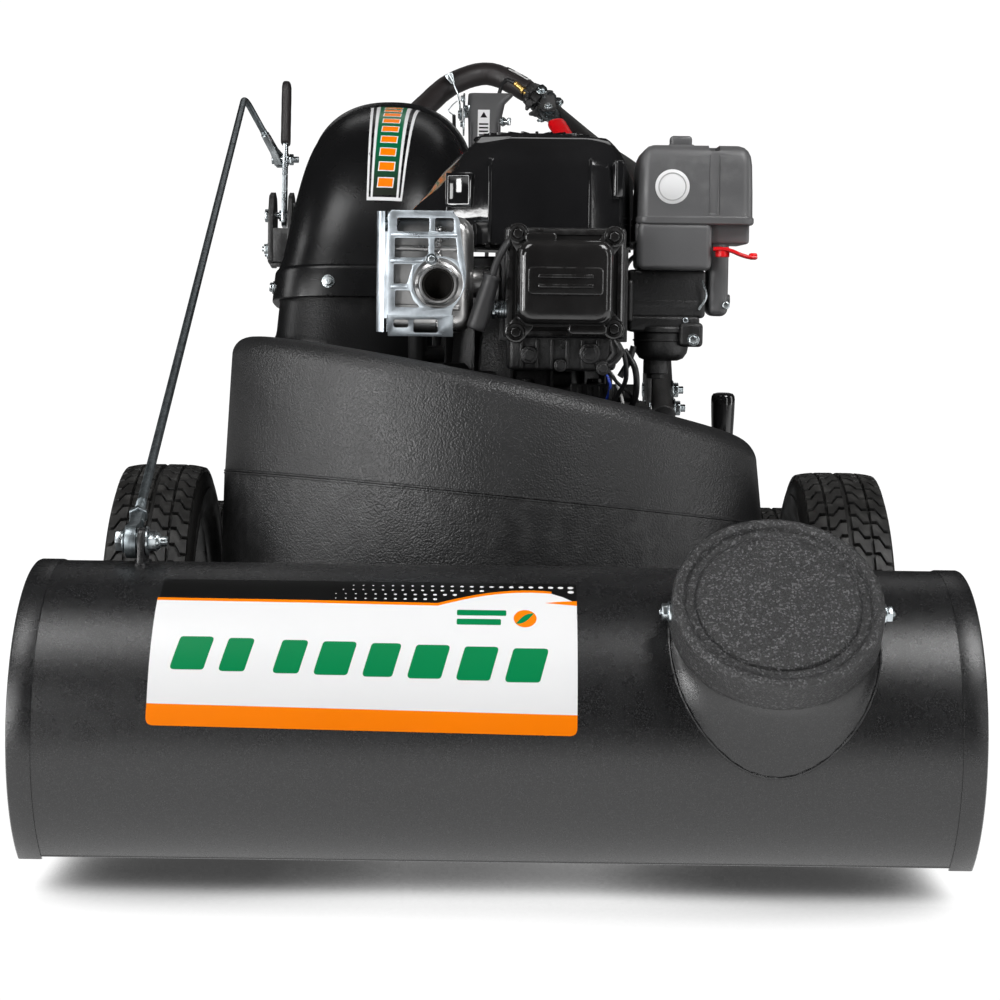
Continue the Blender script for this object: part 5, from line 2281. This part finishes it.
# (name, location, aim, width, height, power in W)
LIGHTS = [
    ("top_left", (-0.95, -1.36, 2.0), (-0.40, -0.6, 0.2), 0.70, 1.0, 18),
    ("top_right", (1.06, -1.36, 2.0), (0.50, -0.6, 0.2), 0.75, 1.0, 31),
    ("left_front", (-1.60, -2.55, 0.75), (0, -0.2, 0.3), 0.55, 1.1, 21),
    ("left_low", (-2.0, -1.75, 0.40), (-0.03, -0.33, 0.55), 0.45, 0.8, 24),
    ("right_front", (1.9, -2.5, 0.9), (0, -0.2, 0.4), 0.5, 1.6, 9),
    ("left_side", (-2.4, -0.3, 1.0), (0, 0, 0.5), 0.7, 1.4, 18),
    ("right_side", (2.4, -0.1, 0.9), (0, 0, 0.5), 0.6, 1.4, 10),
    ("front_fill", (0.1, -3.6, 1.5), (0, 0, 0.3), 1.2, 0.6, 6),
    ("back_rim", (0.2, 2.4, 2.6), (0, 0.3, 0.6), 2.4, 0.6, 3.5)]


def floor_material():
    made = bpy.data.materials.new("floor_white")
    tree = empty_tree(made)
    smooth = dict(interpolation_type="SMOOTHSTEP")
    diffuse = add_node(tree, "BsdfDiffuse", {0: (0.35, 0.35, 0.35, 1)})
    glow = add_node(tree, "Emission", {1: 0.12})
    matt = add_node(tree, "AddShader", {0: diffuse.outputs[0], 1: glow.outputs[0]})
    rays = add_node(tree, "LightPath")
    # mirror-like rays see a bright sweep in front of the object
    y = add_node(tree, "SeparateXYZ", {0: object_coords(tree)}).outputs[1]
    rise = remap(tree, y, -2.9, -1.3, to_min=0.12, to_max=FLOOR_GLOSS, **smooth)
    fall = remap(tree, y, -0.5, 0.3, to_min=1.0, to_max=0.16, **smooth)
    sweep_light = add_node(tree, "Emission", {1: calc(tree, "MULTIPLY", rise, fall)})
    lit = add_node(tree, "MixShader", {0: rays.outputs["Is Glossy Ray"], 1: matt.outputs[0],
                                       2: sweep_light.outputs[0]})
    # the camera sees white, darkened only where the object is close above
    occlusion = add_node(tree, "AmbientOcclusion", {"Distance": 0.30}, samples=32)
    contact = remap(tree, occlusion.outputs["AO"], 0.13, 0.66, to_min=0.05, to_max=1.06,
                    **smooth)
    offset = add_node(tree, "VectorMath", {0: object_coords(tree), 1: (0.0, -0.42, 0.0)},
                      operation="SUBTRACT")
    oval = add_node(tree, "VectorMath", {0: offset.outputs[0], 1: (1.0, 1.25, 1.0)},
                    operation="MULTIPLY")
    distance = add_node(tree, "VectorMath", {0: oval.outputs[0]}, operation="LENGTH")
    far = remap(tree, distance.outputs["Value"], 0.46, 0.90, **smooth)
    seen = add_node(tree, "Emission", {1: calc(tree, "MAXIMUM", far, contact)})
    shader = add_node(tree, "MixShader", {0: rays.outputs["Is Camera Ray"],
                                          1: lit.outputs[0], 2: seen.outputs[0]})
    add_node(tree, "OutputMaterial", {0: shader.outputs[0]})
    return made


def floor():
    data = bpy.data.meshes.new("floor")
    half = FLOOR_HALF
    data.from_pydata([(-half, -half, 0), (half, -half, 0), (half, half, 0), (-half, half, 0)],
                     [], [(0, 1, 2, 3)])
    ob = bpy.data.objects.new("floor", data)
    bpy.context.scene.collection.objects.link(ob)
    data.materials.append(floor_material())


def world():
    """Near-dark surroundings for light, white for the camera."""
    studio = bpy.data.worlds.new("studio")
    bpy.context.scene.world = studio
    tree = empty_tree(studio)
    coords = add_node(tree, "TexCoord").outputs["Generated"]
    y = add_node(tree, "SeparateXYZ", {0: coords}).outputs[1]
    strength = remap(tree, y, -0.5, 0.9, to_min=0.015, to_max=0.012)
    white = (1, 1, 1, 1)
    ambient = add_node(tree, "Background", {0: white, 1: strength})
    backdrop = add_node(tree, "Background", {0: white, 1: 1.05})
    rays = add_node(tree, "LightPath")
    mixed = add_node(tree, "MixShader", {0: rays.outputs["Is Camera Ray"],
                                         1: ambient.outputs[0], 2: backdrop.outputs[0]})
    add_node(tree, "OutputWorld", {0: mixed.outputs[0]})


def lights():
    for name, location, aim, width, height, power in LIGHTS:
        light = bpy.data.lights.new(name, "AREA")
        light.shape = "RECTANGLE"
        light.size, light.size_y = width, height
        light.energy = power
        light.spread = PI
        ob = bpy.data.objects.new(name, light)
        ob.location = location
        ob.rotation_mode = "QUATERNION"
        ob.rotation_quaternion = (Vec(aim) - Vec(location)).to_track_quat("-Z", "Y")
        bpy.context.scene.collection.objects.link(ob)
        ob.visible_diffuse = name != "left_low"
        ob.visible_glossy = name != "front_fill"


def camera():
    data = bpy.data.cameras.new("camera")
    data.lens = 82.62
    data.sensor_width = 36
    data.clip_start, data.clip_end = 0.05, 60
    ob = bpy.data.objects.new("camera", data)
    pitch, roll = math.radians(5.0), math.radians(0.75)
    forward = Vec((0, math.cos(pitch), -math.sin(pitch)))
    level = Vec(RIGHT)
    upright = level.cross(forward)
    right = level * math.cos(roll) + upright * math.sin(roll)
    up = -level * math.sin(roll) + upright * math.cos(roll)
    ob.matrix_world = Matrix(((right.x, up.x, -forward.x, 0.0),
                              (right.y, up.y, -forward.y, -2.4257),
                              (right.z, up.z, -forward.z, 0.465),
                              (0, 0, 0, 1)))
    bpy.context.scene.collection.objects.link(ob)
    bpy.context.scene.camera = ob


def render_settings():
    scene = bpy.context.scene
    scene.view_settings.view_transform = "Standard"
    scene.view_settings.look = "None"
    scene.view_settings.exposure = 0.0
    # guards against a build without Cycles or without this denoiser
    try:
        scene.cycles.use_denoising = True
        scene.cycles.denoiser = "OPENIMAGEDENOISE"
        scene.cycles.denoising_prefilter = "ACCURATE"
        scene.cycles.max_bounces = 6
        scene.cycles.caustics_reflective = False
        scene.cycles.caustics_refractive = False
    except Exception:
        pass


# ------------------------------------------------------------------ build, in object order
nozzle_shell()
nozzle_ends()
hose_port()
port_cap()
spout()
rod_lower_bolt()

duct_neck()
upper_housing()
lower_housing()
discharge_elbow()
elbow_screws()

nozzle_decals()
elbow_decals()

keep_node("engine_base_plate", "dark_plastic", 1.2)
crankcase()
cylinder()
linkage_bracket()
rocker_cover()
blower_shroud()
muffler()
muffler_guard()
spark_plug()
air_cleaner()
carburettor()
choke_lever()
fuel_tank()
oil_filler()

handle()
hand_sleeve()
clutch_clamp()
clutch_bolts()
clamp_knobs()
control_cables()
console()
throttle()
clutch_lever()
lever_bracket()
height_lever()
rod_upper_bolt()
lift_rod()
gear_lever()
engine_wires()

wheels()
chassis_frame()
frame_welds_and_bolts()
axles()
transaxle()
impeller()
crankshaft()

floor()
world()
lights()
camera()
render_settings()
